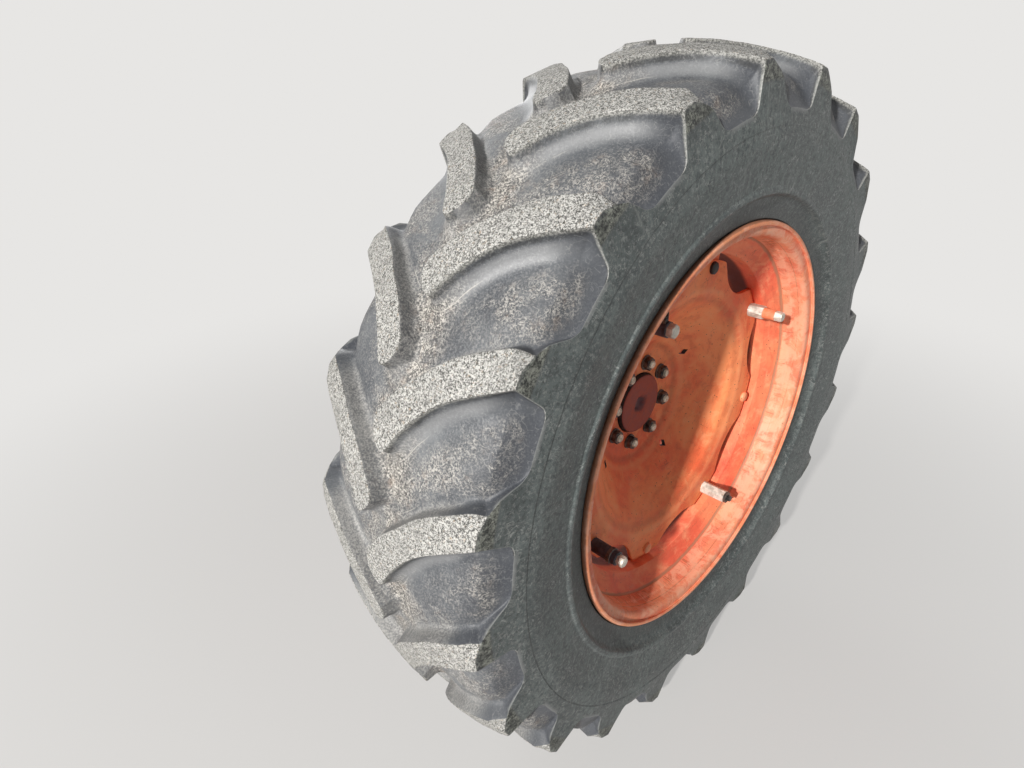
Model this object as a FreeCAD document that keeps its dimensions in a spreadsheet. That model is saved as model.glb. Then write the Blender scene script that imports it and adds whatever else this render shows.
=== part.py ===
# Farm tractor rear wheel on its axle end
import FreeCAD, Part
import math
import os
import Sketcher

# The axle lies along Y. The housing bolts on at y = 0, and the wheel's outer side faces -Y.
# Places across the wheel are measured outwards from the tyre's middle plane.
os.makedirs("parts", exist_ok=True)
doc = FreeCAD.newDocument("RearWheel")
V = FreeCAD.Vector

# Driving sizes: millimetres, degrees and counts, each with its alias
SIZES = [
    ("wheel_middle", 453.0),
    ("rim_width", 355.6),
    ("seat_radius", 431.8),
    ("seat_fall", 4.6),
    ("seat_width", 56.0),
    ("seat_gap", 0.6),
    ("flange_height", 25.4),
    ("flange_curl", 14.0),
    ("rim_plate", 6.5),
    ("well_depth", 46.8),
    ("well_slope", 26.8),
    ("crown_radius", 762.0),
    ("shoulder_drop", 33.0),
    ("shoulder_height", 44.0),
    ("tread_inset", 8.0),
    ("floor_inset", 40.0),
    ("nose_reach", 9.0),
    ("lug_height", 34.0),
    ("lug_count", 20.0),
    ("lug_phase", 126.0),
    ("lug_draft", 9.0),
    ("lug_root", 8.0),
    ("shoulder_flare", 36.0),
    ("side_overhang", 36.2),
    ("side_share", 0.736),
    ("crown_wall", 22.0),
    ("side_wall", 16.0),
    ("bead_width", 34.0),
    ("disc_plate", 10.0),
    ("disc_margin", 17.0),
    ("ring_width", 77.0),
    ("disc_offset", 85.0),
    ("hub_offset", 25.0),
    ("stud_circle", 101.6),
    ("stud_radius", 9.5),
    ("stud_proud", 21.0),
    ("stud_clear", 0.2),
    ("nut_radius", 17.3),
    ("nut_height", 16.0),
    ("boss_clear", 10.8),
    ("pilot_clear", 2.7),
    ("boss_height", 27.0),
    ("recess_radius", 20.0),
    ("recess_depth", 12.0),
    ("hub_flange", 24.0),
    ("hub_margin", 36.4),
    ("flat_margin", 4.0),
    ("bolt_phase", 30.0),
    ("clamp_inset", 40.0),
    ("clamp_bolt", 8.0),
    ("clamp_clear", 0.2),
    ("clamp_head", 13.0),
    ("clamp_head_height", 9.0),
    ("clamp_nut", 13.8),
    ("clamp_nut_height", 13.0),
    ("bolt_end", 2.0),
    ("lug_plate", 12.0),
    ("lug_plate_width", 74.0),
    ("lug_plate_inset", 23.0),
    ("sleeve_radius", 15.5),
    ("sleeve_length", 66.0),
    ("sleeve_head", 12.7),
    ("sleeve_head_height", 16.0),
    ("scallop_depth", 36.0),
    ("scallop_radius", 144.7),
    ("hand_depth", 45.0),
    ("hand_radius", 100.0),
    ("square_inset", 32.0),
    ("square_half", 7.0),
    ("shaft_radius", 42.0),
    ("seal_step", 8.0),
    ("seal_land", 60.0),
    ("seal_clear", 0.05),
    ("shaft_end_radius", 24.0),
    ("shaft_end_length", 60.0),
    ("shaft_taper", 40.0),
    ("flange_clear", 12.0),
    ("retainer_plate", 10.0),
    ("retainer_inset", 26.0),
    ("retainer_margin", 16.0),
    ("retainer_bolt", 5.0),
    ("retainer_head", 9.0),
    ("retainer_head_height", 6.0),
    ("housing_lip", 2.0),
    ("housing_end_length", 62.0),
    ("housing_cone", 30.0),
    ("neck_wall", 12.0),
    ("neck_swell", 14.0),
    ("root_inset", 28.0),
    ("root_length", 40.0),
    ("housing_flange", 22.0),
    ("housing_margin", 24.0),
    ("housing_bolt_circle", 126.0),
    ("housing_bolt_hole", 7.0),
    ("bore_clear", 6.0),
    ("edge_break", 4.0),
    ("valve_radius", 8.0),
    ("valve_length", 44.0),
    ("valve_offset", 30.0),
    ("valve_foot", 8.0),
    ("valve_foot_height", 5.0),
]
ALIASES = [alias for alias, value in SIZES]
sheet = doc.addObject("Spreadsheet::Sheet", "Sizes")
for row, (alias, value) in enumerate(SIZES, start=1):
    sheet.set("A%d" % row, alias)
    sheet.set("B%d" % row, str(value))
    sheet.setAlias("B%d" % row, alias)
doc.recompute()


def size(alias):
    return float(sheet.get(alias))


def bound(text):
    """Expression text with each size named in the sheet."""
    return " ".join("Sizes." + word if word in ALIASES else word for word in text.split())


def number(text):
    """Value now of a sum of products, written with spaces and no brackets."""
    total = 0.0
    sign = 1.0
    product = 1.0
    divide = False
    for word in text.split():
        if word in ("+", "-"):
            total += sign * product
            sign = 1.0 if word == "+" else -1.0
            product = 1.0
        elif word in ("*", "/"):
            divide = word == "/"
        else:
            value = size(word) if word in ALIASES else float(word)
            product = product / value if divide else product * value
            divide = False
    return total + sign * product


def new_body(label):
    body = doc.addObject("PartDesign::Body", "Body_" + label)
    body.Label = label
    return body


def origin_item(body, role):
    for item in body.Origin.OriginFeatures:
        if item.Role == role:
            return item
    raise RuntimeError("no " + role)


def new_sketch(body, label, role):
    sketch = body.newObject("Sketcher::SketchObject", label)
    sketch.AttachmentSupport = [(origin_item(body, role), "")]
    sketch.MapMode = "FlatFace"
    return sketch


def hold(sketch, kind, place, text, now):
    """Constrain one value of a sketch to an expression."""
    index = sketch.addConstraint(Sketcher.Constraint(kind, *place, now))
    sketch.setExpression("Constraints[%d]" % index, bound(text))


def turned(label, corners):
    """Body turned about the axle from its half section, corners as (y, radius)."""
    body = new_body(label)
    sketch = new_sketch(body, label + "_section", "YZ_Plane")
    points = [V(number(y), number(radius), 0) for y, radius in corners]
    count = len(points)
    for i in range(count):
        sketch.addGeometry(Part.LineSegment(points[i], points[(i + 1) % count]))
    for i in range(count):
        sketch.addConstraint(Sketcher.Constraint("Coincident", i, 2, (i + 1) % count, 1))
    for i, (y, radius) in enumerate(corners):
        hold(sketch, "DistanceX", (-1, 1, i, 1), y, points[i].x)
        hold(sketch, "DistanceY", (-1, 1, i, 1), radius, points[i].y)
    turn = body.newObject("PartDesign::Revolution", label + "_turn")
    turn.Profile = sketch
    turn.ReferenceAxis = (sketch, ["H_Axis"])
    turn.Angle = 360
    body.Tip = turn
    return body


def cut_through(body, sketch, label, count):
    """Cut a sketch right through along the axle, then repeat it round the axle."""
    cut = body.newObject("PartDesign::Pocket", label + "_cut")
    cut.Profile = sketch
    cut.Type = "ThroughAll"
    cut.SideType = "Symmetric"
    body.Tip = cut
    doc.recompute()
    ring = body.newObject("PartDesign::PolarPattern", label + "_ring")
    ring.Originals = [cut]
    ring.Axis = (origin_item(body, "Y_Axis"), [""])
    ring.Angle = 360
    ring.Occurrences = count
    body.Tip = ring
    doc.recompute()


def round_holes(body, label, circle, radius, phase, count):
    """Ring of round holes, phase in degrees from +X towards +Z."""
    sketch = new_sketch(body, label, "XZ_Plane")
    turn = math.radians(number(phase))
    reach = number(circle)
    x_now = reach * math.cos(turn)
    z_now = reach * math.sin(turn)
    sketch.addGeometry(Part.Circle(V(x_now, z_now, 0), V(0, 0, 1), number(radius)))
    angle = "( " + phase + " ) * 1 deg )"
    hold(sketch, "DistanceX", (-1, 1, 0, 3), "( " + circle + " ) * cos( " + angle, x_now)
    hold(sketch, "DistanceY", (-1, 1, 0, 3), "( " + circle + " ) * sin( " + angle, z_now)
    hold(sketch, "Radius", (0,), radius, number(radius))
    cut_through(body, sketch, label, count)


# Stations along the axle as y, then radii, all as sums of sizes
HUB_FACE = "0 - wheel_middle + hub_offset + disc_plate"
DISC_HUB = "0 - wheel_middle + hub_offset"
DISC_RING = "0 - wheel_middle - disc_offset"
HUB_BACK = HUB_FACE + " + hub_flange"
RETAINER_FACE = HUB_BACK + " + flange_clear"
HOUSING_END = RETAINER_FACE + " + retainer_plate"
WELL = "seat_radius - well_depth"
FLANGE_TOP = "seat_radius + flange_height"
CLAMP_CIRCLE = WELL + " - clamp_inset"
DISC_EDGE = CLAMP_CIRCLE + " + disc_margin"
DISC_CREASE = DISC_EDGE + " - ring_width"
BOSS = "stud_circle - nut_radius - boss_clear"
PILOT = BOSS + " + pilot_clear"
HUB_FLANGE = "stud_circle + hub_margin"
HUB_FLAT = HUB_FLANGE + " + flat_margin"
SQUARE_CIRCLE = HUB_FLAT + " + square_inset - flat_margin"
SEAL = "shaft_radius + seal_step"
RETAINER_CIRCLE = SEAL + " + retainer_inset"
RETAINER_EDGE = RETAINER_CIRCLE + " + retainer_margin"
HOUSING_BORE = SEAL + " + bore_clear"
HOUSING_RIM = RETAINER_EDGE + " + housing_lip"
HOUSING_NECK = HOUSING_BORE + " + neck_wall"
HOUSING_ROOT = "housing_bolt_circle - root_inset"
HOUSING_FLANGE = "housing_bolt_circle + housing_margin"
SCALLOP_CIRCLE = DISC_EDGE + " - scallop_depth + scallop_radius"
HAND_CIRCLE = DISC_EDGE + " - hand_depth + hand_radius"

# How many of each bolt, and the angle half-way between two of the wheel's
WHEEL_BOLTS = 8
HOUSING_BOLTS = 10
RETAINER_BOLTS = 6
BETWEEN = "bolt_phase + %g" % (180 / WHEEL_BOLTS)

# Axle housing with its inner bolting flange and outer bearing end
housing = turned("axle_housing", [
    (HOUSING_END, HOUSING_BORE),
    (HOUSING_END, HOUSING_RIM + " - edge_break"),
    (HOUSING_END + " + edge_break", HOUSING_RIM),
    (HOUSING_END + " + housing_end_length", HOUSING_RIM),
    (HOUSING_END + " + housing_end_length + housing_cone", HOUSING_NECK),
    ("0 - housing_flange - root_length", HOUSING_NECK + " + neck_swell"),
    ("0 - housing_flange", HOUSING_ROOT),
    ("0 - housing_flange", HOUSING_FLANGE),
    ("0", HOUSING_FLANGE),
    ("0", HOUSING_BORE),
])
doc.recompute()
round_holes(housing, "housing_bolt_holes", "housing_bolt_circle", "housing_bolt_hole",
            "bolt_phase", HOUSING_BOLTS)

# Seal retainer plate, whose bore runs on the half shaft's seal land
retainer = turned("seal_retainer", [
    (RETAINER_FACE, SEAL + " + seal_clear"),
    (RETAINER_FACE, RETAINER_EDGE + " - edge_break / 2"),
    (RETAINER_FACE + " + edge_break / 2", RETAINER_EDGE),
    (HOUSING_END, RETAINER_EDGE),
    (HOUSING_END, SEAL + " + seal_clear"),
])
doc.recompute()
round_holes(retainer, "retainer_holes", RETAINER_CIRCLE, "retainer_bolt + clamp_clear",
            "bolt_phase", RETAINER_BOLTS)

# Half shaft with the wheel's bolting flange, centring boss and inner end
shaft = turned("half_shaft", [
    (HUB_FACE + " - boss_height + recess_depth", "0"),
    (HUB_FACE + " - boss_height + recess_depth", "recess_radius"),
    (HUB_FACE + " - boss_height", "recess_radius"),
    (HUB_FACE + " - boss_height", BOSS + " - edge_break"),
    (HUB_FACE + " - boss_height + edge_break", BOSS),
    (HUB_FACE, BOSS),
    (HUB_FACE, HUB_FLANGE),
    (HUB_BACK, HUB_FLANGE),
    (HUB_BACK, SEAL),
    (HUB_BACK + " + seal_land", SEAL),
    (HUB_BACK + " + seal_land + seal_step", "shaft_radius"),
    ("0 - shaft_taper", "shaft_radius"),
    ("0", "shaft_end_radius"),
    ("shaft_end_length", "shaft_end_radius"),
    ("shaft_end_length", "0"),
])
doc.recompute()
round_holes(shaft, "flange_holes", "stud_circle", "stud_radius + stud_clear", "bolt_phase", WHEEL_BOLTS)

# Wheel disc: flat hub seat, cone, and a flat outer ring scalloped between its eight tabs
disc = turned("wheel_disc", [
    (DISC_HUB, PILOT),
    (DISC_HUB, HUB_FLAT),
    (DISC_RING, DISC_CREASE),
    (DISC_RING, DISC_EDGE),
    (DISC_RING + " + disc_plate", DISC_EDGE),
    (DISC_RING + " + disc_plate", DISC_CREASE),
    (HUB_FACE, HUB_FLAT),
    (HUB_FACE, PILOT),
])
doc.recompute()
round_holes(disc, "stud_holes", "stud_circle", "stud_radius + stud_clear", "bolt_phase", WHEEL_BOLTS)
round_holes(disc, "clamp_holes", CLAMP_CIRCLE, "clamp_bolt + clamp_clear", "bolt_phase", WHEEL_BOLTS)
round_holes(disc, "scallops", SCALLOP_CIRCLE, "scallop_radius", BETWEEN, WHEEL_BOLTS)
round_holes(disc, "hand_holes", HAND_CIRCLE, "hand_radius", BETWEEN, 2)

# Square holes of the disc, one corner pair pointing at the hub
squares = new_sketch(disc, "square_holes", "XZ_Plane")
phase = math.radians(size("bolt_phase"))
reach = number(SQUARE_CIRCLE)
half = size("square_half") * math.sqrt(2.0)
middle = V(reach * math.cos(phase), reach * math.sin(phase), 0)
corner = []
for k in range(4):
    turn = phase + k * math.pi / 2
    corner.append(middle + V(half * math.cos(turn), half * math.sin(turn), 0))
for k in range(4):
    squares.addGeometry(Part.LineSegment(corner[k], corner[(k + 1) % 4]))
for k in range(4):
    squares.addConstraint(Sketcher.Constraint("Coincident", k, 2, (k + 1) % 4, 1))
for k in range(4):
    for kind, wave, now in (("DistanceX", "cos", corner[k].x), ("DistanceY", "sin", corner[k].y)):
        out = "( %s ) * %s( bolt_phase * 1 deg )" % (SQUARE_CIRCLE, wave)
        across = "square_half * sqrt(2) * %s( bolt_phase * 1 deg + %d deg )" % (wave, 90 * k)
        hold(squares, kind, (-1, 1, k, 1), out + " + " + across, now)
cut_through(disc, squares, "square_holes", 4)

# Rim: two flanges with outward curls, bead seats and a deep well
RIM_SIDE = [
    # distance from the middle, radius
    ("rim_width / 2 - seat_width - well_slope", WELL),
    ("rim_width / 2 - seat_width", "seat_radius - seat_fall"),
    ("rim_width / 2 - edge_break", "seat_radius"),
    ("rim_width / 2", "seat_radius + edge_break"),
    ("rim_width / 2", FLANGE_TOP + " - rim_plate"),
    ("rim_width / 2 + edge_break", FLANGE_TOP),
    ("rim_width / 2 + flange_curl - edge_break", FLANGE_TOP),
    ("rim_width / 2 + flange_curl", FLANGE_TOP + " - edge_break"),
    ("rim_width / 2 + flange_curl", FLANGE_TOP + " - rim_plate - edge_break"),
    ("rim_width / 2 + flange_curl - edge_break", FLANGE_TOP + " - rim_plate - edge_break"),
    ("rim_width / 2 + flange_curl - edge_break", FLANGE_TOP + " - rim_plate"),
    ("rim_width / 2 + rim_plate", FLANGE_TOP + " - rim_plate"),
    ("rim_width / 2 + rim_plate", "seat_radius"),
    ("rim_width / 2", "seat_radius - rim_plate"),
    ("rim_width / 2 - seat_width + edge_break / 2", "seat_radius - seat_fall - rim_plate"),
    ("rim_width / 2 - seat_width - well_slope + edge_break", WELL + " - rim_plate"),
]
OUTSIDE = "0 - wheel_middle - "
INSIDE = "0 - wheel_middle + "


def flipped(text):
    """The same distance with its signs turned round, as part of a longer sum."""
    return " ".join({"+": "-", "-": "+"}.get(word, word) for word in text.split())


rim = turned("wheel_rim",
             [(OUTSIDE + flipped(across), radius) for across, radius in RIM_SIDE]
             + [(INSIDE + across, radius) for across, radius in reversed(RIM_SIDE)])
doc.recompute()

# Valve hole through the well, on top, then its stem
valve_seat = new_sketch(rim, "valve_hole", "XY_Plane")
valve_y = number(INSIDE + "valve_offset")
valve_seat.addGeometry(Part.Circle(V(0, valve_y, 0), V(0, 0, 1), size("valve_radius") + size("seat_gap")))
hold(valve_seat, "DistanceX", (-1, 1, 0, 3), "0", 0.0)
hold(valve_seat, "DistanceY", (-1, 1, 0, 3), INSIDE + "valve_offset", valve_y)
hold(valve_seat, "Radius", (0,), "valve_radius + seat_gap", size("valve_radius") + size("seat_gap"))
valve_cut = rim.newObject("PartDesign::Pocket", "valve_hole_cut")
valve_cut.Profile = valve_seat
valve_cut.Type = "ThroughAll"
valve_cut.Reversed = True
rim.Tip = valve_cut
doc.recompute()
stem = doc.addObject("Part::Cylinder", "Stem")
stem.setExpression("Radius", "Sizes.valve_radius")
stem.setExpression("Height", "Sizes.valve_length")
foot = doc.addObject("Part::Cylinder", "StemFoot")
foot.setExpression("Radius", "Sizes.valve_radius + Sizes.valve_foot")
foot.setExpression("Height", "Sizes.valve_foot_height")
valve = doc.addObject("Part::Fuse", "Valve")
valve.Base = stem
valve.Tool = foot
valve.Label = "valve_stem"
for piece, drop in ((stem, "valve_length"), (foot, "0")):
    piece.setExpression(".Placement.Base.y", bound(INSIDE + "valve_offset"))
    piece.setExpression(".Placement.Base.z", bound(WELL + " + seat_gap - " + drop))

parts = [housing, retainer, shaft, disc, rim, valve]


def along_axle(kind, label, start, length, radius):
    """Cylinder or hexagonal bar along the axle, starting at the lower y."""
    item = doc.addObject(kind, label)
    item.setExpression("Radius" if kind == "Part::Cylinder" else "Circumradius", bound(radius))
    item.setExpression("Height", bound(length))
    if kind == "Part::Prism":
        item.Polygon = 6
    item.Placement = FreeCAD.Placement(V(0, 0, 0), FreeCAD.Rotation(V(1, 0, 0), -90))
    item.setExpression(".Placement.Base.y", bound(start))
    return item


def place_round(item, circle, angle):
    """Move a piece out to a circle at an angle from +X towards +Z."""
    item.setExpression(".Placement.Base.x", "( %s ) * cos(%s)" % (bound(circle), angle))
    item.setExpression(".Placement.Base.z", "( %s ) * sin(%s)" % (bound(circle), angle))


def joined(label, pieces):
    whole = doc.addObject("Part::MultiFuse", "Whole_" + label)
    whole.Shapes = pieces
    whole.Label = label
    parts.append(whole)
    return whole


def bored(label, outer, bore):
    cut = doc.addObject("Part::Cut", "Cut_" + label)
    cut.Base = outer
    cut.Tool = bore
    cut.Label = label
    parts.append(cut)
    return cut


# Studs through the flange and disc, each with its nut
for k in range(WHEEL_BOLTS):
    angle = "(Sizes.bolt_phase + %g) * 1 deg" % (360 / WHEEL_BOLTS * k)
    name = "wheel_stud_%d" % (k + 1)
    stud = along_axle("Part::Cylinder", name, DISC_HUB + " - stud_proud",
                      "disc_plate + hub_flange + stud_proud", "stud_radius")
    place_round(stud, "stud_circle", angle)
    stud.Label = name
    parts.append(stud)
    name = "wheel_nut_%d" % (k + 1)
    nut = along_axle("Part::Prism", name + "_hex", DISC_HUB + " - nut_height", "nut_height", "nut_radius")
    bore = along_axle("Part::Cylinder", name + "_bore", DISC_HUB + " - nut_height - 1",
                      "nut_height + 2", "stud_radius + stud_clear")
    place_round(nut, "stud_circle", angle)
    place_round(bore, "stud_circle", angle)
    bored(name, nut, bore)

# Rim lugs, bolts and hexagonal sleeves round the disc's outer ring
for k in range(WHEEL_BOLTS):
    angle = "(Sizes.bolt_phase + %g) * 1 deg" % (360 / WHEEL_BOLTS * k)
    name = "rim_lug_%d" % (k + 1)
    block = doc.addObject("Part::Box", name + "_block")
    block.setExpression("Length", "Sizes.clamp_inset + Sizes.lug_plate_inset")
    block.setExpression("Width", "Sizes.lug_plate")
    block.setExpression("Height", "Sizes.lug_plate_width")
    block.Placement = FreeCAD.Placement(V(0, 0, 0), FreeCAD.Rotation(V(0, -1, 0), 0))
    foot = "( " + bound(CLAMP_CIRCLE + " - lug_plate_inset") + " )"
    aside = "Sizes.lug_plate_width / 2"
    block.setExpression(".Placement.Base.x", "%s * cos(%s) + %s * sin(%s)" % (foot, angle, aside, angle))
    block.setExpression(".Placement.Base.z", "%s * sin(%s) - %s * cos(%s)" % (foot, angle, aside, angle))
    block.setExpression(".Placement.Base.y", bound(DISC_RING + " + disc_plate"))
    block.setExpression(".Placement.Rotation.Angle", angle)
    well = along_axle("Part::Cylinder", name + "_well", DISC_RING, "disc_plate + lug_plate * 2",
                      WELL + " - rim_plate")
    trimmed = doc.addObject("Part::Common", name + "_trim")
    trimmed.Base = block
    trimmed.Tool = well
    hole = along_axle("Part::Cylinder", name + "_hole", DISC_RING, "disc_plate + lug_plate * 2",
                      "clamp_bolt + clamp_clear")
    place_round(hole, CLAMP_CIRCLE, angle)
    bored(name, trimmed, hole)
    nut = along_axle("Part::Prism", name + "_nut", DISC_RING + " + disc_plate + lug_plate",
                     "clamp_nut_height", "clamp_nut")
    place_round(nut, CLAMP_CIRCLE, angle)
    if k % 2:
        name = "disc_bolt_%d" % (k // 2 + 1)
        head = along_axle("Part::Cylinder", name + "_head", DISC_RING + " - clamp_head_height",
                          "clamp_head_height", "clamp_head")
        shank = along_axle("Part::Cylinder", name + "_shank", DISC_RING,
                           "disc_plate + lug_plate + bolt_end", "clamp_bolt")
    else:
        name = "dual_sleeve_%d" % (k // 2 + 1)
        hexagon = along_axle("Part::Prism", name + "_hex", DISC_RING + " - sleeve_length",
                             "sleeve_length", "sleeve_radius")
        bore = along_axle("Part::Cylinder", name + "_bore", DISC_RING + " - sleeve_length - 1",
                          "sleeve_length + 2", "clamp_bolt + clamp_clear")
        place_round(hexagon, CLAMP_CIRCLE, angle)
        place_round(bore, CLAMP_CIRCLE, angle)
        bored(name, hexagon, bore)
        name = "sleeve_bolt_%d" % (k // 2 + 1)
        head = along_axle("Part::Prism", name + "_head", DISC_RING + " - sleeve_length - sleeve_head_height",
                          "sleeve_head_height", "sleeve_head")
        shank = along_axle("Part::Cylinder", name + "_shank", DISC_RING + " - sleeve_length",
                           "sleeve_length + disc_plate + lug_plate + bolt_end", "clamp_bolt")
    place_round(head, CLAMP_CIRCLE, angle)
    place_round(shank, CLAMP_CIRCLE, angle)
    joined(name, [head, shank, nut])

# Retainer bolts
for k in range(RETAINER_BOLTS):
    angle = "(Sizes.bolt_phase + %g) * 1 deg" % (360 / RETAINER_BOLTS * k)
    name = "retainer_bolt_%d" % (k + 1)
    head = along_axle("Part::Prism", name + "_head", RETAINER_FACE + " - retainer_head_height",
                      "retainer_head_height", "retainer_head")
    shank = along_axle("Part::Cylinder", name + "_shank", RETAINER_FACE, "retainer_plate", "retainer_bolt")
    place_round(head, RETAINER_CIRCLE, angle)
    place_round(shank, RETAINER_CIRCLE, angle)
    joined(name, [head, shank])

# Tyre: carcass turned from a many-sided section, then two staggered rows of curved lugs
middle_y = -size("wheel_middle")
crown = size("crown_radius")
drop = size("shoulder_drop")
bulge = number("rim_width / 2 + side_overhang")
tread = bulge - size("tread_inset")
height = size("lug_height")
lip = number(FLANGE_TOP + " + seat_gap")
bead_low = number("seat_radius + seat_gap")
bead_out = number("rim_width / 2 - seat_gap")
toe = bead_out - size("bead_width")
shoulder = crown - drop - height
shoulder_end = shoulder - size("shoulder_height")
side_height = shoulder_end - lip
side = size("side_wall")


def crown_at(across):
    """Radius over the lug tops at a distance from the middle plane."""
    return crown - drop * (across / tread) ** 2


def up_side(share):
    """Radius at a share of the way from the rim's flange up to the shoulder's lower end."""
    return lip + side_height * share


floor_end = tread - size("floor_inset")
belt = up_side(size("side_share"))
OUTER_WALL = [
    # distance from the middle, radius: from the crown down to the bead's toe
    (0, crown - height),
    (floor_end, crown_at(floor_end) - height),
    (tread - 8, shoulder - height / 2),
    (tread + 3, shoulder_end),
    (bulge, belt),
    (bulge - 14, up_side(0.28)),
    (bulge - 25, up_side(0.07)),
    (bead_out + size("edge_break"), lip),
    (bead_out, lip - size("rim_plate")),
    (bead_out, bead_low + size("edge_break")),
    (bead_out - size("edge_break"), bead_low),
    (toe, bead_low),
]
INNER_WALL = [
    # back from the bead's toe to the inside of the crown
    (toe, bead_low + 14),
    (bulge - side - 20, up_side(0.2)),
    (bulge - side, belt),
    (tread - side, shoulder_end - 11),
    (tread - 56, shoulder),
    (0, crown - height - size("crown_wall")),
]


def section_point(across, radius, sign):
    return V(0, middle_y - sign * across, radius)


def flat_sided(rings):
    """Solid with flat triangular sides through rings of corners, capped at both ends."""
    faces = []

    def side_face(*corners):
        faces.append(Part.Face(Part.makePolygon(list(corners) + [corners[0]])))

    for near, far in zip(rings, rings[1:]):
        for i in range(4):
            j = (i + 1) % 4
            side_face(near[i], near[j], far[j])
            side_face(near[i], far[j], far[i])
    side_face(*rings[0])
    side_face(*rings[-1])
    solid = Part.Solid(Part.Shell(faces))
    if solid.Volume < 0:
        solid.reverse()
    return solid


near_side = [section_point(*place, 1) for place in OUTER_WALL + INNER_WALL]
far_side = [section_point(*place, -1) for place in OUTER_WALL + INNER_WALL]
ring = near_side + far_side[-2:0:-1]
section = Part.Face(Part.makePolygon(ring + ring[:1]))
carcass = section.revolve(V(0, 0, 0), V(0, 1, 0), 360)

LUG = [
    # share of the way from nose to shoulder, trailing and leading edge in degrees, share of the foot's flare
    (0.00, 12.4, 14.2, 0.0),
    (0.15, 9.2, 16.1, 0.0),
    (0.32, 6.5, 12.1, 0.1),
    (0.62, 2.5, 7.4, 0.3),
    (1.00, 0.0, 3.9, 1.0),
]
reach = tread + size("nose_reach")
pitch = 360.0 / size("lug_count")
draft = math.degrees(size("lug_draft") / crown)
flare = math.degrees(size("shoulder_flare") / crown)
lugs = []
for row_sign in (1, -1):
    for k in range(int(size("lug_count"))):
        start = size("lug_phase") + pitch * k + (pitch / 2 if row_sign < 0 else 0)
        rings = []
        for share, trail, lead, spread in LUG:
            across = reach * share - size("nose_reach")
            top = crown_at(across)
            foot = min(top - height, shoulder_end + height * (1 - share) * 2) - size("lug_root")
            section = [
                (trail - draft - flare * spread, foot),
                (lead + draft, foot),
                (lead, top),
                (trail, top),
            ]
            corners = []
            for angle, radius in section:
                turn = math.radians(start + angle)
                y = middle_y - row_sign * across
                corners.append(V(radius * math.cos(turn), y, radius * math.sin(turn)))
            rings.append(corners)
        lugs.append(flat_sided(rings))
tyre = doc.addObject("Part::Feature", "Tyre")
tyre.Shape = carcass.multiFuse(lugs)
tyre.Label = "tyre"
parts.append(tyre)

doc.recompute()
for item in doc.Objects:
    if "Invalid" in item.State or "Error" in item.State:
        raise RuntimeError("failed object: " + item.Label)
for item in parts:
    shape = item.Shape
    if shape.isNull() or not shape.isValid() or len(shape.Solids) != 1:
        raise RuntimeError("bad shape: %s, %d solids" % (item.Label, len(shape.Solids)))
for item in parts:
    item.Shape.exportStep("parts/" + item.Label + ".step")
print("pieces", len(parts))
for item in parts:
    box = item.Shape.BoundBox
    print("%-18s y %8.1f %8.1f" % (item.Label, box.YMin, box.YMax), end="  ")
    print("top %7.1f  volume %10.0f" % (box.ZMax, item.Shape.Volume))
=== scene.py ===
import math

import bpy
import numpy as np
from mathutils import Euler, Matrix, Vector, noise


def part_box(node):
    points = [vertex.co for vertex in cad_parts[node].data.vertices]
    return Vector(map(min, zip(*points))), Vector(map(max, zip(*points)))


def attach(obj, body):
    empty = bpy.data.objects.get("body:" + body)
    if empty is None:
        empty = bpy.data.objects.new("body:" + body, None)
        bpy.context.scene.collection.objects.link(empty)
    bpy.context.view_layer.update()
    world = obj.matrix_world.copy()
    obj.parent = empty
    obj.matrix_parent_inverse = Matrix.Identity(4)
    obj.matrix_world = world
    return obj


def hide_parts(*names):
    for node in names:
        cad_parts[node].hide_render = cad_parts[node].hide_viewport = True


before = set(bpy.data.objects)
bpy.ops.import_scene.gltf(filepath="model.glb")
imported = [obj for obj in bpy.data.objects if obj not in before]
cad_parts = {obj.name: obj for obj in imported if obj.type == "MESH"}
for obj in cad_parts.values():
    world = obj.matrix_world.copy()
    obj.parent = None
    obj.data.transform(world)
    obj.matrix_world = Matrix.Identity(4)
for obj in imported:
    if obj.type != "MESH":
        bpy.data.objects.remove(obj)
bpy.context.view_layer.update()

# Farm tractor rear wheel on its axle end.
# Shapes are worked out in millimetres as (across, radius): across is the distance outboard from
# the tyre's middle plane, and angles run in degrees from +X towards +Z about the axle.
MM = 0.001
TYRE_LOW, TYRE_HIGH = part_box("tyre")
SHAFT_LOW, SHAFT_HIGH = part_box("half_shaft")
MIDDLE = (TYRE_LOW.y + TYRE_HIGH.y) / 2
SIDE_HALF = (TYRE_HIGH.y - TYRE_LOW.y) / 2 / MM

# Tread, its crown a little inside the solid's so that the uneven rubber has room
CROWN = TYRE_HIGH.z / MM - 0.6
LUGS = 20
PITCH = 360 / LUGS
LUG_PHASE = 126.0
SHOULDER_DROP = 33.0
TREAD_HALF = 206.0
LUG_HEIGHT = 34.0
NOSE = -9.0
FACE_BEND = 697.0
SIDE_START = 650.0
SIDE_FOOT = 210.0

# Rim, disc and hub
RIM_HALF = 177.8
SEAT = 431.8
FLANGE = 457.2
LIP = 448.0
WELL = 385.0
DISC_EDGE = 362.0
DISC_CREASE = 285.0
DISC_OUT = 85.0
DISC_PLATE = 10.0
SCALLOP_CIRCLE = 470.7
SCALLOP_RADIUS = 144.7
HAND_HOLE_CIRCLE = 417.0
HAND_HOLE_RADIUS = 100.0
SQUARE_CIRCLE = 174.0
SQUARE_HALF = 7.0
HUB_OUT = -25.0
HUB_FLAT = 142.0
PILOT = 76.2
BOSS = 73.5
STUD_CIRCLE = 101.6
CLAMP_CIRCLE = 345.0
BOLT_PHASE = 30.0


# Shapes


def ramp(value, start, end):
    """Share that goes from 0 at start to 1 at end."""
    return np.clip((value - start) / (end - start), 0, 1)


def crown_at(across):
    """Radius over the lug tops."""
    return CROWN - SHOULDER_DROP * (np.asarray(across) / TREAD_HALF) ** 2


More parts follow.
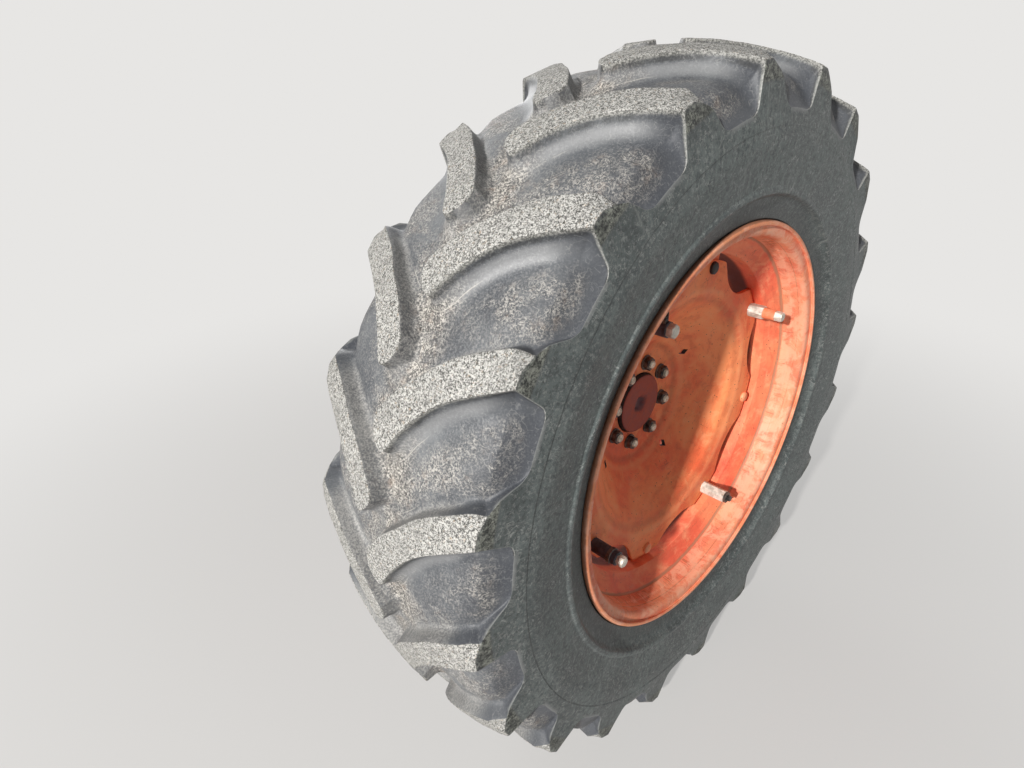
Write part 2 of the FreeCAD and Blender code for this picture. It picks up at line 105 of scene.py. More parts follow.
def along(outline):
    """Distance along an outline at each of its points."""
    return np.concatenate([[0], np.cumsum(np.hypot(*np.diff(outline, axis=0).T))])


def through(x, stations, values):
    """Smooth curve through a few points, its slopes taken from the neighbours."""
    xs = np.asarray(stations, float)
    ys = np.asarray(values, float)
    slope = np.gradient(ys, xs)
    x = np.clip(np.asarray(x, float), xs[0], xs[-1])
    i = np.clip(np.searchsorted(xs, x) - 1, 0, len(xs) - 2)
    width = xs[i + 1] - xs[i]
    t = (x - xs[i]) / width
    return ((2 * t**3 - 3 * t**2 + 1) * ys[i] + (t**3 - 2 * t**2 + t) * width * slope[i]
            + (3 * t**2 - 2 * t**3) * ys[i + 1] + (t**3 - t**2) * width * slope[i + 1])


def eased(corners, steps=4):
    """Outline through corners (across, radius, fillet), each corner eased over its fillet."""
    outline = []
    count = len(corners)
    for k, (across, radius, fillet) in enumerate(corners):
        here = Vector((across, radius))
        if fillet <= 0 or k in (0, count - 1):
            outline.append(here)
            continue
        before = Vector(corners[k - 1][:2]) - here
        after = Vector(corners[k + 1][:2]) - here
        start = here + before.normalized() * min(fillet, before.length * 0.49)
        end = here + after.normalized() * min(fillet, after.length * 0.49)
        for i in range(steps + 1):
            t = i / steps
            outline.append(start * (1 - t) ** 2 + here * 2 * t * (1 - t) + end * t**2)
    return np.array([tuple(point) for point in outline])


def wheel_point(angle, across, radius):
    """Places in the frame, in metres, from degrees and millimetres."""
    turn = np.radians(angle)
    x = radius * np.cos(turn) * MM
    z = radius * np.sin(turn) * MM
    y = MIDDLE - np.asarray(across) * MM + 0 * x
    return np.stack(np.broadcast_arrays(x, y, z), axis=-1)


def add_object(name, data):
    item = bpy.data.objects.new(name, data)
    bpy.context.scene.collection.objects.link(item)
    return item


def grid_piece(name, points, marks=None, loop=False, flip=False, sharp=35):
    """Mesh from a grid of points whose columns go once round: loop closes its rows too."""
    rows, columns = points.shape[:2]
    i, j = np.meshgrid(np.arange(rows if loop else rows - 1), np.arange(columns), indexing="ij")
    below = (i + 1) % rows
    beside = (j + 1) % columns
    corners = [i * columns + j, i * columns + beside, below * columns + beside, below * columns + j]
    faces = np.stack(corners[::-1] if flip else corners, axis=-1).reshape(-1, 4)
    mesh = bpy.data.meshes.new(name)
    mesh.from_pydata(points.reshape(-1, 3), [], faces.tolist())
    mesh.polygons.foreach_set("use_smooth", [True] * len(mesh.polygons))
    mesh.set_sharp_from_angle(angle=math.radians(sharp))
    for label, value in (marks or {}).items():
        layer = mesh.attributes.new(label, "FLOAT", "POINT")
        layer.data.foreach_set("value", np.ascontiguousarray(value, dtype=np.float32).ravel())
    mesh.update()
    return add_object(name, mesh)


def joined(name, pieces):
    """One mesh object from several."""
    bpy.ops.object.select_all(action="DESELECT")
    for piece in pieces:
        piece.select_set(True)
    bpy.context.view_layer.objects.active = pieces[0]
    bpy.ops.object.join()
    pieces[0].name = name
    return pieces[0]


def finish_piece(piece, body, material, nodes=()):
    """Material, body and slot of a new piece, and the nodes that it stands for."""
    piece.data.materials.clear()
    piece.data.materials.append(material)
    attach(piece, body)
    if nodes:
        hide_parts(*nodes)
    return piece


# Materials


class Shading:
    """Node helper for one material."""

    def __init__(self, name):
        self.material = bpy.data.materials.new(name)
        self.material.use_nodes = True
        self.tree = self.material.node_tree
        self.shader = self.tree.nodes["Principled BSDF"]
        self.place = self.node("ShaderNodeTexCoord").outputs["Object"]

    def node(self, kind, **settings):
        made = self.tree.nodes.new(kind)
        for key, value in settings.items():
            setattr(made, key, value)
        return made

    def feed(self, socket, value):
        """Link, number or colour into a socket."""
        if isinstance(value, bpy.types.NodeSocket):
            self.tree.links.new(value, socket)
        elif isinstance(value, tuple) and len(value) == 3 and socket.type == "RGBA":
            socket.default_value = (*value, 1)
        else:
            socket.default_value = value

    def math(self, operation, a, b=0.0):
        made = self.node("ShaderNodeMath", operation=operation)
        self.feed(made.inputs[0], a)
        self.feed(made.inputs[1], b)
        return made.outputs[0]

    def times(self, *factors):
        """Product of its numbers."""
        product = factors[0]
        for factor in factors[1:]:
            product = self.math("MULTIPLY", product, factor)
        return product

    def plus(self, a, b, share=1.0):
        """A number and a share of another."""
        return self.math("ADD", a, b if share == 1.0 else self.times(b, share))

    def stirred(self, value, grain, reach):
        """Number pushed up and down by noise."""
        return self.plus(value, self.math("SUBTRACT", grain, 0.5), reach)

    def noise(self, scale, detail=4.0, rough=0.55, place=None, distortion=0.0):
        made = self.node("ShaderNodeTexNoise")
        self.feed(made.inputs["Vector"], place or self.place)
        self.feed(made.inputs["Scale"], scale)
        self.feed(made.inputs["Detail"], detail)
        self.feed(made.inputs["Roughness"], rough)
        self.feed(made.inputs["Distortion"], distortion)
        return made.outputs["Fac"]

    def cells(self, scale, feature="F1", place=None):
        made = self.node("ShaderNodeTexVoronoi", feature=feature)
        self.feed(made.inputs["Vector"], place or self.place)
        self.feed(made.inputs["Scale"], scale)
        return made.outputs["Distance"]

    def band(self, value, low, high, bottom=0.0, top=1.0):
        """Value taken smoothly from one range to another, held at its ends."""
        made = self.node("ShaderNodeMapRange", interpolation_type="SMOOTHSTEP")
        for label, number in zip(("Value", "From Min", "From Max", "To Min", "To Max"),
                                 (value, low, high, bottom, top)):
            self.feed(made.inputs[label], number)
        return made.outputs["Result"]

    def between(self, value, rise, full, fade, end):
        """Share that grows from rise to full and goes again from fade to end."""
        return self.times(self.band(value, rise, full), self.band(value, end, fade))

    def near(self, value, middle, far, close, top=1.0):
        """Share that grows as a number comes from far to close by a middle."""
        distance = self.math("ABSOLUTE", self.math("SUBTRACT", value, middle))
        return self.band(distance, far, close, 0, top)

    def mix(self, share, a, b):
        """Mix of two colours, or of two numbers."""
        colours = isinstance(b, tuple) or getattr(b, "type", "") == "RGBA"
        made = self.node("ShaderNodeMix", data_type="RGBA" if colours else "FLOAT")
        self.feed(made.inputs[0], share)
        self.feed(made.inputs[6 if colours else 2], a)
        self.feed(made.inputs[7 if colours else 3], b)
        return made.outputs[2 if colours else 0]

    def over(self, under, colour, *shares):
        """Colour laid over another by the product of its shares."""
        return self.mix(self.times(*shares), under, colour)

    def bent(self, scale, reach):
        """Object coordinates pushed about by noise, so a pattern on them wanders."""
        made = self.node("ShaderNodeTexNoise")
        self.feed(made.inputs["Vector"], self.place)
        self.feed(made.inputs["Scale"], scale)
        push = self.node("ShaderNodeVectorMath", operation="SCALE")
        self.feed(push.inputs[0], made.outputs["Color"])
        self.feed(push.inputs["Scale"], reach)
        moved = self.node("ShaderNodeVectorMath", operation="ADD")
        self.feed(moved.inputs[0], self.place)
        self.feed(moved.inputs[1], push.outputs[0])
        return moved.outputs[0]

    def attribute(self, name):
        return self.node("ShaderNodeAttribute", attribute_name=name).outputs["Fac"]

    def parts(self):
        """The three object coordinates."""
        split = self.node("ShaderNodeSeparateXYZ")
        self.feed(split.inputs[0], self.place)
        return split.outputs

    def length(self, x, y):
        return self.math("SQRT", self.plus(self.times(x, x), self.times(y, y)))

    def polar(self):
        """Angle in turns, radius and distance outboard, in metres, about the axle."""
        x, y, z = self.parts()
        angle = self.math("DIVIDE", self.math("ARCTAN2", z, x), 2 * math.pi)
        return angle, self.length(x, z), self.math("SUBTRACT", MIDDLE, y)

    def vector(self, x, y, z):
        made = self.node("ShaderNodeCombineXYZ")
        for socket, value in zip(made.inputs, (x, y, z)):
            self.feed(socket, value)
        return made.outputs[0]

    def bump(self, height, distance, strength):
        made = self.node("ShaderNodeBump")
        self.feed(made.inputs["Height"], height)
        self.feed(made.inputs["Distance"], distance)
        self.feed(made.inputs["Strength"], strength)
        return made.outputs["Normal"]

    def done(self, colour, roughness, normal=None, metallic=0.0, specular=0.5):
        self.feed(self.shader.inputs["Base Color"], colour)
        self.feed(self.shader.inputs["Roughness"], roughness)
        self.feed(self.shader.inputs["Metallic"], metallic)
        self.feed(self.shader.inputs["Specular IOR Level"], specular)
        if normal is not None:
            self.feed(self.shader.inputs["Normal"], normal)
        return self.material


def srgb(red, green, blue):
    """Linear colour from 0 to 255 display values."""
    linear = []
    for part in (red, green, blue):
        c = part / 255
        linear.append(c / 12.92 if c <= 0.04045 else ((c + 0.055) / 1.055) ** 2.4)
    return tuple(linear)


def darker(colour, share):
    return tuple(part * share for part in colour)


def tyre_rubber():
    """Weathered rubber: stony worn lug tops, smooth pockets with dusty patches, dark sidewall."""
    m = Shading("tyre_rubber")
    top = m.attribute("lug_top")
    dusty = m.attribute("dusty")
    gap = m.attribute("gap")
    lead_gap = m.attribute("lead_gap")
    angle, radius, across = m.polar()
    out = m.math("ABSOLUTE", across)
    cloudy = m.noise(6, 5, 0.62)
    patches = m.noise(17, 5, 0.7)
    fine = m.noise(170, 4, 0.7)
    grit = m.noise(300, 4, 0.8)

    # Smooth moulded rubber in the pockets, with a painted highlight along the leading fillet, a painted
    # shade in the crease at the foot of its wall and towards the shoulder, and a painted lighter tone
    # with grain along the trailing wall
    pocket = m.mix(m.band(cloudy, 0.35, 0.65), srgb(70, 73, 78), srgb(104, 107, 110))
    pocket = m.over(pocket, srgb(54, 57, 63), m.band(patches, 0.48, 0.7, 0, 0.65))
    pocket = m.over(pocket, srgb(132, 134, 136), m.band(grit, 0.46, 0.62, 0, 0.45))
    # Painted highlight along the leading fillet
    fillet = m.times(m.between(lead_gap, 2, 8, 12, 30), m.band(out, 0.195, 0.155))
    pocket = m.over(pocket, srgb(144, 145, 146), fillet, 0.55)
    # Painted shade towards the shoulder
    pocket = m.over(pocket, srgb(56, 59, 66), m.band(out, 0.14, 0.195, 0, 0.62))
    # Painted light: a lighter tone, with grain, along the trailing wall
    trailing = m.times(m.band(gap, 19, 7), m.band(lead_gap, 20, 34), m.band(out, 0.17, 0.13))
    trailing = m.times(trailing, m.band(out, 0.02, 0.06, 0.35, 1), m.band(grit, 0.4, 0.6, 0.2, 0.75))
    pocket = m.over(pocket, srgb(160, 158, 154), trailing)
    # Painted shade in the crease at the foot of the leading wall
    crease_shade = m.times(m.between(lead_gap, 0.4, 1.0, 2.5, 5.0), m.band(patches, 0.35, 0.6))
    pocket = m.over(pocket, srgb(44, 44, 42), crease_shade, 0.6)

    # Dust: pale and brown specks and hairs, thick between the noses and along each pocket, and
    # thin close beside a lug
    pale = m.band(m.noise(300, 4, 0.85, distortion=0.4), 0.46, 0.58)
    dark = m.band(m.noise(230, 4, 0.85, distortion=0.5), 0.52, 0.6)
    strands = m.band(m.cells(70, "DISTANCE_TO_EDGE", m.bent(34, 0.05)), 0.045, 0.0)
    hairs = m.times(strands, m.band(m.noise(75, 3, 0.6), 0.46, 0.54))
    middle = m.band(out, 0.085, 0.03)
    spread = m.band(m.plus(patches, cloudy, 0.5), 0.64, 0.86, 0.12, 1.0)
    spread = m.math("MAXIMUM", spread, m.times(middle, m.band(patches, 0.32, 0.56, 0.4, 1.0)))
    amount = m.times(dusty, spread, m.band(gap, 3, 13, 0.3, 1.0))
    dusted = m.mix(middle, srgb(88, 90, 93), srgb(84, 82, 80))
    dusted = m.over(dusted, srgb(208, 203, 195), pale)
    dusted = m.over(dusted, srgb(42, 40, 40), dark, 0.85)
    dusted = m.over(dusted, srgb(60, 60, 62), m.band(m.noise(55, 4, 0.75), 0.5, 0.6), 0.5)
    dusted = m.over(dusted, srgb(212, 206, 196), hairs, 0.85)
    dusted = m.over(dusted, srgb(150, 126, 106), m.band(m.noise(44, 4, 0.7), 0.54, 0.66), 0.28)
    pocket = m.over(pocket, dusted, amount, m.band(middle, 0, 1, 0.66, 0.94))
    pocket = m.over(pocket, srgb(172, 172, 170), hairs, 0.2)

    # Flash line left by the mould round each nose
    flash = m.near(gap, m.plus(12, cloudy, 12), 0.9, 0.3)
    flash = m.times(flash, m.band(out, 0.085, 0.06), m.band(patches, 0.4, 0.5))
    pocket = m.over(pocket, srgb(186, 182, 174), flash, 0.55)

    # Lug tops: pale stony grain with dark pits and warm grains, greyer on the steep walls
    grain = m.plus(m.times(m.noise(420, 3, 0.95), 0.6), m.noise(190, 4, 0.9), 0.4)
    stony = m.mix(m.band(grain, 0.44, 0.56), srgb(62, 62, 60), srgb(202, 201, 197))
    stony = m.over(stony, srgb(132, 132, 129), m.band(m.noise(16, 5, 0.7), 0.45, 0.7, 0, 0.4))
    stony = m.over(stony, srgb(34, 34, 33), m.band(m.cells(260), 0.3, 0.1), 0.7)
    stony = m.over(stony, srgb(180, 156, 128), m.band(m.noise(180, 3, 0.8), 0.6, 0.68), 0.5)
    ragged = m.band(m.stirred(top, fine, 0.9), 0.15, 0.6)
    wall = m.mix(m.band(grit, 0.42, 0.58), srgb(84, 84, 80), srgb(176, 175, 170))
    steep = m.math("MAXIMUM", m.band(top, 0.02, 0.2), m.between(lead_gap, 0.0, 0.3, 0.6, 2.2))
    colour = m.over(pocket, wall, steep, 0.8)
    colour = m.over(colour, stony, ragged)

    # End faces of the lugs, dark and rough
    end = m.mix(m.band(m.noise(140, 5, 0.9), 0.42, 0.6), srgb(28, 30, 29), srgb(142, 145, 136))
    end = m.over(end, srgb(24, 26, 25), m.band(m.noise(50, 4, 0.7), 0.45, 0.62, 0, 0.6))
    colour = m.over(colour, end, m.attribute("end_face"))

    # Sidewall: green-grey, with light radial scuffs and hairs, the scuffs stronger over its middle as a
    # painted light, and a painted shade near the rim
    side = m.mix(m.band(cloudy, 0.35, 0.65), srgb(64, 71, 71), srgb(98, 106, 105))
    side = m.over(side, srgb(44, 48, 50), m.band(m.noise(80, 5, 0.85), 0.46, 0.6, 0, 0.65))
    side = m.over(side, srgb(142, 145, 143), m.band(m.noise(150, 5, 0.9), 0.5, 0.62, 0, 0.6))
    radial = m.vector(m.times(angle, 420), m.times(radius, 5), across)
    scuffs = m.band(m.noise(1, 4, 0.75, place=radial), 0.56, 0.72)
    # Real scuffs, made stronger over the sidewall's middle as a painted light
    worn = m.between(radius, 0.495, 0.505, 0.55, 0.575)
    side = m.over(side, srgb(140, 143, 140), scuffs, m.band(worn, 0, 1, 0.35, 0.5))
    side = m.over(side, srgb(166, 168, 165), hairs, m.band(patches, 0.46, 0.56), 0.6)
    # Painted shade on the sidewall near the rim
    near_rim_shade = m.band(m.plus(radius, patches, 0.02), 0.522, 0.482, 0, 0.45)
    side = m.over(side, srgb(38, 36, 35), near_rim_shade)
    colour = m.over(colour, side, m.attribute("sidewall"))
    colour = m.over(colour, srgb(150, 152, 149), m.attribute("edge_line"), 0.45)

    dull = m.band(m.plus(cloudy, amount, 0.4), 0.3, 0.8, 0.4, 0.66)
    relief = m.plus(m.times(ragged, 0.9), m.plus(m.times(dusty, 0.25), 0.1))
    height = m.plus(m.times(grit, relief), fine, 0.35)
    return m.done(colour, m.mix(ragged, dull, 0.85), m.bump(height, 0.002, 0.8), specular=0.4)


def faded_paint(name, bright, deep, chalk, dirt_share=0.4):
    """Old enamel: chalky fading, blotches, scratches, dust in the rim's corner and a worn lip, with painted
    shade and highlight at the disc's pressed rings, painted shade behind its edge, and dirt and painted shade
    on the lip's curl.
    """
    m = Shading(name)
    angle, radius, across = m.polar()
    broad = m.noise(5, 5, 0.62, distortion=0.4)
    blotch = m.noise(24, 6, 0.72, distortion=0.6)
    fine = m.noise(240, 4, 0.7)
    colour = m.mix(m.band(broad, 0.38, 0.62), deep, bright)
    colour = m.over(colour, chalk, m.band(blotch, 0.5, 0.7, 0, 0.55))
    colour = m.over(colour, darker(deep, 0.62), m.band(blotch, 0.46, 0.3, 0, 0.45))
    turned = m.vector(m.times(angle, 30), m.times(radius, 45), m.times(across, 45))
    streaks = m.noise(1, 4, 0.6, place=turned)
    colour = m.over(colour, chalk, m.band(streaks, 0.5, 0.68, 0, 0.25))
    colour = m.over(colour, darker(deep, 0.7), m.band(streaks, 0.48, 0.34, 0, 0.35))
    dots = m.times(m.band(m.cells(70), 0.14, 0.06), m.band(broad, 0.46, 0.56))
    colour = m.over(colour, srgb(58, 34, 28), dots, 0.8)
    scratches = m.band(m.cells(26, "DISTANCE_TO_EDGE", m.bent(30, 0.06)), 0.022, 0.0)
    scratches = m.times(scratches, m.band(m.noise(34, 3, 0.6), 0.56, 0.64))
    colour = m.over(colour, darker(deep, 0.35), scratches, 0.6)
    colour = m.over(colour, srgb(84, 52, 38), m.band(m.noise(150, 4, 0.8), 0.62, 0.7), dirt_share)
    colour = m.over(colour, srgb(240, 186, 152), m.band(m.noise(210, 3, 0.8), 0.64, 0.72), 0.45)

    # Darker bands, partly dust and partly painted shade, at the disc's pressed rings, with a painted
    # highlight just outside each
    ringed = m.stirred(radius, blotch, 0.008)
    for circle, share in ((0.146, 0.34), (0.276, 0.26)):
        ring_dust_and_shade = m.near(ringed, circle, 0.013, 0.001, share)
        colour = m.over(colour, srgb(122, 48, 32), ring_dust_and_shade, m.band(blotch, 0.3, 0.55, 0.3, 1))
        colour = m.over(colour, chalk, m.near(ringed, circle + 0.018, 0.01, 0.001, share))
    # Painted shade on the rim just behind the disc's edge
    behind_disc_shade = m.times(m.between(across, 0.0, 0.03, 0.06, 0.074), m.band(radius, 0.37, 0.374))
    colour = m.over(colour, srgb(46, 20, 16), behind_disc_shade, 0.88)

    # Dust lies along the corner between the rim's slope and its ledge, a groove runs by the lip,
    # the ledge is pale and dashed, and the lip is worn bright with a darker curl, partly dirt and partly
    # painted shade
    on_rim = m.band(radius, 0.405, 0.41)
    corner = m.near(m.stirred(across, blotch, 0.004), 0.125, 0.0042, 0.0016)
    colour = m.over(colour, srgb(158, 122, 96), corner, on_rim, 0.75)
    colour = m.over(colour, srgb(150, 84, 46), m.near(across, 0.164, 0.0016, 0.0008), on_rim, 0.5)
    stain = m.times(m.band(across, 0.126, 0.14), on_rim, m.band(fine, 0.5, 0.66))
    colour = m.over(colour, srgb(176, 104, 70), stain, 0.4)
    ledge = m.times(m.band(across, 0.127, 0.131), on_rim)
    colour = m.over(colour, srgb(250, 194, 160), ledge, m.band(blotch, 0.62, 0.42), 0.62)
    dashed = m.vector(m.times(angle, 700), m.times(radius, 30), across)
    dashes = m.times(m.band(m.noise(1, 3, 0.7, place=dashed), 0.5, 0.6), m.band(blotch, 0.46, 0.56))
    colour = m.over(colour, srgb(150, 84, 54), dashes, ledge, m.band(across, 0.16, 0.15), 0.5)
    lip = m.times(m.band(radius, 0.446, 0.451), m.band(blotch, 0.4, 0.6))
    colour = m.over(colour, srgb(238, 160, 112), lip, 0.6)
    # Darker curl of the lip: partly dirt, partly painted shade
    curl_dirt_and_shade = m.band(m.stirred(radius, blotch, 0.006), 0.4535, 0.4565, 0, 0.7)
    colour = m.over(colour, srgb(104, 74, 60), curl_dirt_and_shade)

    roughness = m.band(blotch, 0.3, 0.7, 0.46, 0.66)
    height = m.plus(m.times(fine, 0.3), blotch, 0.7)
    height = m.math("SUBTRACT", height, m.times(scratches, 0.4))
    return m.done(colour, roughness, m.bump(height, 0.0009, 0.6), specular=0.45)


def hub_finish(name, bright, deep):
    """Dark red paint gone dull, black round the boss with grease and a painted shade in the gap, and darker
    in its recess.
    """
    m = Shading(name)
    radius = m.polar()[1]
    blotch = m.noise(30, 6, 0.75, distortion=0.5)
    fine = m.noise(260, 4, 0.7)
    colour = m.mix(m.band(blotch, 0.38, 0.62), deep, bright)
    colour = m.over(colour, srgb(88, 40, 34), m.band(m.noise(160, 4, 0.8), 0.58, 0.68, 0, 0.5))
    # Black round the boss: partly grease, partly painted shade in the gap
    boss_grease_and_shade = m.band(m.plus(radius, blotch, 0.002), 0.0728, 0.0738)
    colour = m.over(colour, srgb(30, 26, 25), boss_grease_and_shade)
    recess = m.band(m.stirred(radius, blotch, 0.03), 0.03, 0.014, 0, 0.8)
    colour = m.over(colour, srgb(58, 36, 46), recess)
    roughness = m.band(blotch, 0.3, 0.7, 0.5, 0.75)
    return m.done(colour, roughness, m.bump(m.plus(fine, blotch), 0.0008, 0.6))


def aged_metal(name, light, dark, rough_low, rough_high, metallic, rust):
    """Plated or oiled steel with stains and light rust."""
    m = Shading(name)
    blotch = m.noise(60, 5, 0.7)
    colour = m.mix(m.band(blotch, 0.35, 0.65), dark, light)
    colour = m.over(colour, srgb(112, 62, 38), m.band(m.noise(110, 5, 0.8), 0.55, 0.68), rust)
    roughness = m.band(blotch, 0.3, 0.7, rough_low, rough_high)
    return m.done(colour, roughness, m.bump(m.noise(500, 3, 0.7), 0.0004, 0.5), metallic=metallic)


RUBBER = tyre_rubber()
RIM_PAINT = faded_paint("rim_paint", srgb(246, 142, 100), srgb(234, 102, 74), srgb(250, 178, 136))
WHEEL_PAINT = faded_paint("wheel_paint", srgb(254, 154, 98), srgb(238, 106, 64), srgb(253, 176, 126), 0.6)
# Dark brown standing for shade: painted shade on the square holes' walls and the top disc bolt head
PAINTED_SHADE = hub_finish("painted_shade", srgb(52, 34, 28), srgb(26, 20, 18))
CHALKY_PAINT = faded_paint("chalky_paint", srgb(246, 168, 124), srgb(232, 132, 92), srgb(250, 194, 158), 0.2)
HUB_PAINT = hub_finish("hub_paint", srgb(152, 66, 48), srgb(126, 48, 38))
HOUSING_PAINT = faded_paint("housing_paint", srgb(158, 52, 40), srgb(132, 40, 33), srgb(176, 84, 62), 0.6)
DARK_STEEL = aged_metal("dark_steel", srgb(112, 102, 94), srgb(38, 34, 33), 0.35, 0.6, 0.4, 0.25)
WORN_STEEL = aged_metal("worn_steel", srgb(212, 204, 188), srgb(128, 120, 106), 0.35, 0.55, 0.6, 0.1)
COATED_STEEL = aged_metal("coated_steel", srgb(78, 82, 92), srgb(44, 46, 52), 0.45, 0.65, 0.2, 0.25)
ZINC = aged_metal("zinc_steel", srgb(226, 221, 210), srgb(182, 175, 162), 0.4, 0.62, 0.25, 0.15)
BRASS = aged_metal("brass", srgb(176, 142, 74), srgb(120, 94, 48), 0.35, 0.6, 0.9, 0.1)


# Tyre

# A lug's edges: degrees at places across
TRAIL_STATIONS = (-9, 10, 40, 70, 100, 130, 160, 190, 207)
TRAIL_DEGREES = (12.4, 10.4, 7.8, 5.9, 3.8, 2.3, 1.1, 0.0, 0.0)
LEAD_STATIONS = (-9, -3, 3, 12, 23, 31, 42, 60, 80, 105, 130, 160, 190, 207)
LEAD_DEGREES = (14.2, 15.0, 15.5, 16.0, 16.1, 15.3, 13.8, 12.1, 10.3, 8.5, 7.15, 5.85, 4.6, 3.85)
SIDE_SHIFT = {1: 0.0, -1: 8.0}
LEAD_START = 14.0

# The seam between the halves: places across at degrees from the middle of a nose
SEAM_STATIONS = (-9, -8, -6.7, -5.4, -4.5, -3, -1.5, 0, 1, 2.3, 3.6, 4.5, 6, 7.5, 9)
SEAM_ACROSS = (31, 28, 18, 5, -7, -19, -27.5, -31, -28, -18, -5, 7, 19, 27.5, 31)
NOSE_MIDDLE = 14.65
JOIN = 60.0

# The lug's foot on its end face, the pocket and the walls
FOOT_FLARE_TRAIL = 4.0
FOOT_FLARE_LEAD = 1.5
FOOT_CORNER = 1.5
FOOT_START = 0.78
POCKET_RISE = 0.22
LEAD_FILLET = 31.0
TRAIL_FILLET = 10.0
FILLET_DEPTH = 0.79
FILLET_REACH = 0.978
FILLET_SWELL = 0.45
CORNER_START = 182.0
CORNER_END = 206.0
CORNER_WIDTH = 26.0
CORNER_SLOPE = 0.5
WALL_DRAFT = 0.21
EDGE_OUT = (-1.6, -0.6, 0.0, 0.4)
EDGE_DROP = (0.0, 0.3, 0.9, 1.9)
MEAN_RADIUS = 745.0
PER_MM = math.degrees(1 / MEAN_RADIUS)
FAR = 1000.0

# Rows of the mesh: places across over the crown, then radii down the end face. The pocket's floor
# leaves the crown's curve at the start of the scoop.
CROWN_ROWS = (-33, -27, -23, -19.5, -16.5, -14, -12.2, -10.8, -9.8, -9.0, -7.6, -5, 0, 6, 12, 18, 24, 31,
              *range(39, 150, 9), 150, 158, 166, 174, 182, 189, 195, 200, 203)
FACE_ROWS = (717, 707, 699, 696, 690, 683, 676, 670, 665, 661, 657.5, 654.5, 652, 650.8, 650)
SCOOP_START = 150.0
SCOOP = ((165, 703.5), (178, 693), (189, 681), (198.5, 666.5), (206, 655.5), (SIDE_FOOT, SIDE_START))

# Columns of the mesh: millimetres from a lug's edge, or shares of the way over a lug or pocket
TOP_INSET = (0.0, 1.6, 6.0)
LEAD_OUT = (0.4, 1.5, 2.9, 4.7, 6.5, 9.5, 13.4, 19.4, 28.3)
TRAIL_OUT = (0.4, 1.5, 3.0, 4.8, 7.4, 11.0, 16.6)
TOP_SHARES = (0.22, 0.36, 0.5, 0.64, 0.78)
POCKET_SHARES = (0.12, 0.26, 0.4, 0.55, 0.7, 0.85)
KEPT_AT_SEAM = 4


def wall_profile(distance, fillet):
    """Share of the lug's height left at a distance out from its edge: steep wall, then a fillet."""
    wall = LUG_HEIGHT - FILLET_DEPTH * fillet
    straight = wall * WALL_DRAFT
    reach = straight + FILLET_REACH * fillet
    steep = np.interp(distance, EDGE_OUT, EDGE_DROP) + np.clip(distance - EDGE_OUT[-1], 0, None) / WALL_DRAFT
    back = np.clip(reach - distance, 0, FILLET_REACH * fillet)
    curve = LUG_HEIGHT - (fillet - np.sqrt(fillet**2 - back**2))
    drop = np.where(distance < straight, np.minimum(steep, wall), curve)
    drop = np.where(distance >= reach, LUG_HEIGHT, drop)
    return np.clip(1 - drop / LUG_HEIGHT, 0, 1)


def tread_rows():
    """Rows of the tread from the seam out: lug outline, pocket outline and share down the end face."""
    edge = float(crown_at(TREAD_HALF))
    top = [(across, float(crown_at(across))) for across in CROWN_ROWS]
    top += [(204.9, edge - 0.9), (TREAD_HALF, edge - 3.2)]
    face_radii, face_across = (SIDE_START, FACE_BEND, 730), (210.2, 207.6, TREAD_HALF)
    top += [(np.interp(radius, face_radii, face_across), radius) for radius in FACE_ROWS]
    top = np.array(top)
    scoop = np.array([(SCOOP_START, float(crown_at(SCOOP_START)) - LUG_HEIGHT), *SCOOP])
    from_scoop = along(top) - along(top)[CROWN_ROWS.index(SCOOP_START)]
    scooped = along(scoop)
    reach = ramp(from_scoop, 0, from_scoop[-1]) * scooped[-1]
    floor = np.stack([through(reach, scooped, scoop[:, k]) for k in (0, 1)], axis=1)
    before = from_scoop < 0
    floor[before] = top[before] - (0, LUG_HEIGHT)
    down = ramp(top[:, 1], edge, SIDE_START) * (top[:, 0] > CROWN_ROWS[-1])
    return top, floor, down


def lug_edges(across, down, side):
    """Degrees of a lug's trailing and leading edge, widening at its foot round the pocket's end."""
    across = across - SIDE_SHIFT[side]
    corner = FOOT_CORNER * (1 - np.sqrt(1 - ramp(down, FOOT_START, 1.0) ** 2))
    trail = through(across, TRAIL_STATIONS, TRAIL_DEGREES) - FOOT_FLARE_TRAIL * down - corner
    lead = through(across, LEAD_STATIONS, LEAD_DEGREES) + FOOT_FLARE_LEAD * down + corner
    return trail, lead


def tread_columns(across, down, squeeze, side):
    """Kind of each mesh column, its place in that kind, and its degrees at the rows given."""
    trail, lead = lug_edges(across, down, side)
    reach = squeeze * PER_MM * (1 + FILLET_SWELL * ramp(across, 15, 35) * ramp(across, 190, 130))
    columns = [("top", inset, trail + inset * PER_MM) for inset in TOP_INSET]
    columns += [("top", TOP_INSET[-1], trail + (lead - trail) * share) for share in TOP_SHARES]
    columns += [("top", inset, lead - inset * PER_MM) for inset in TOP_INSET[::-1]]
    columns += [("lead", out, lead + out * reach) for out in LEAD_OUT]
    start = columns[-1][2]
    end = trail + PITCH - TRAIL_OUT[-1] * reach
    columns += [("pocket", share, start + (end - start) * share) for share in POCKET_SHARES]
    columns += [("trail", out, trail + PITCH - out * reach) for out in TRAIL_OUT[::-1]]
    kinds, values, angles = zip(*columns)
    return np.array(kinds), np.array(values), np.stack(angles, axis=-1)


def seam_across(angle):
    """Where the two halves of the tread meet, weaving between the lugs' noses."""
    half = PITCH / 2
    return through((angle - NOSE_MIDDLE + half) % PITCH - half, SEAM_STATIONS, SEAM_ACROSS)


def seam_places(kinds, fine_across, fine_angle):
    """Angle at which each column meets the seam."""
    beyond = fine_across[:, None] <= seam_across(fine_angle)
    last = np.argmax(beyond[::-1], axis=0)
    meets = fine_angle[len(fine_across) - 1 - last, np.arange(len(kinds))]
    spread = np.flatnonzero((kinds == "pocket") | (kinds == "trail"))
    first, final = spread[0], spread[-1] - KEPT_AT_SEAM
    meets[first:final] = np.linspace(meets[first - 1], meets[final], final - first + 2)[1:-1]
    return meets


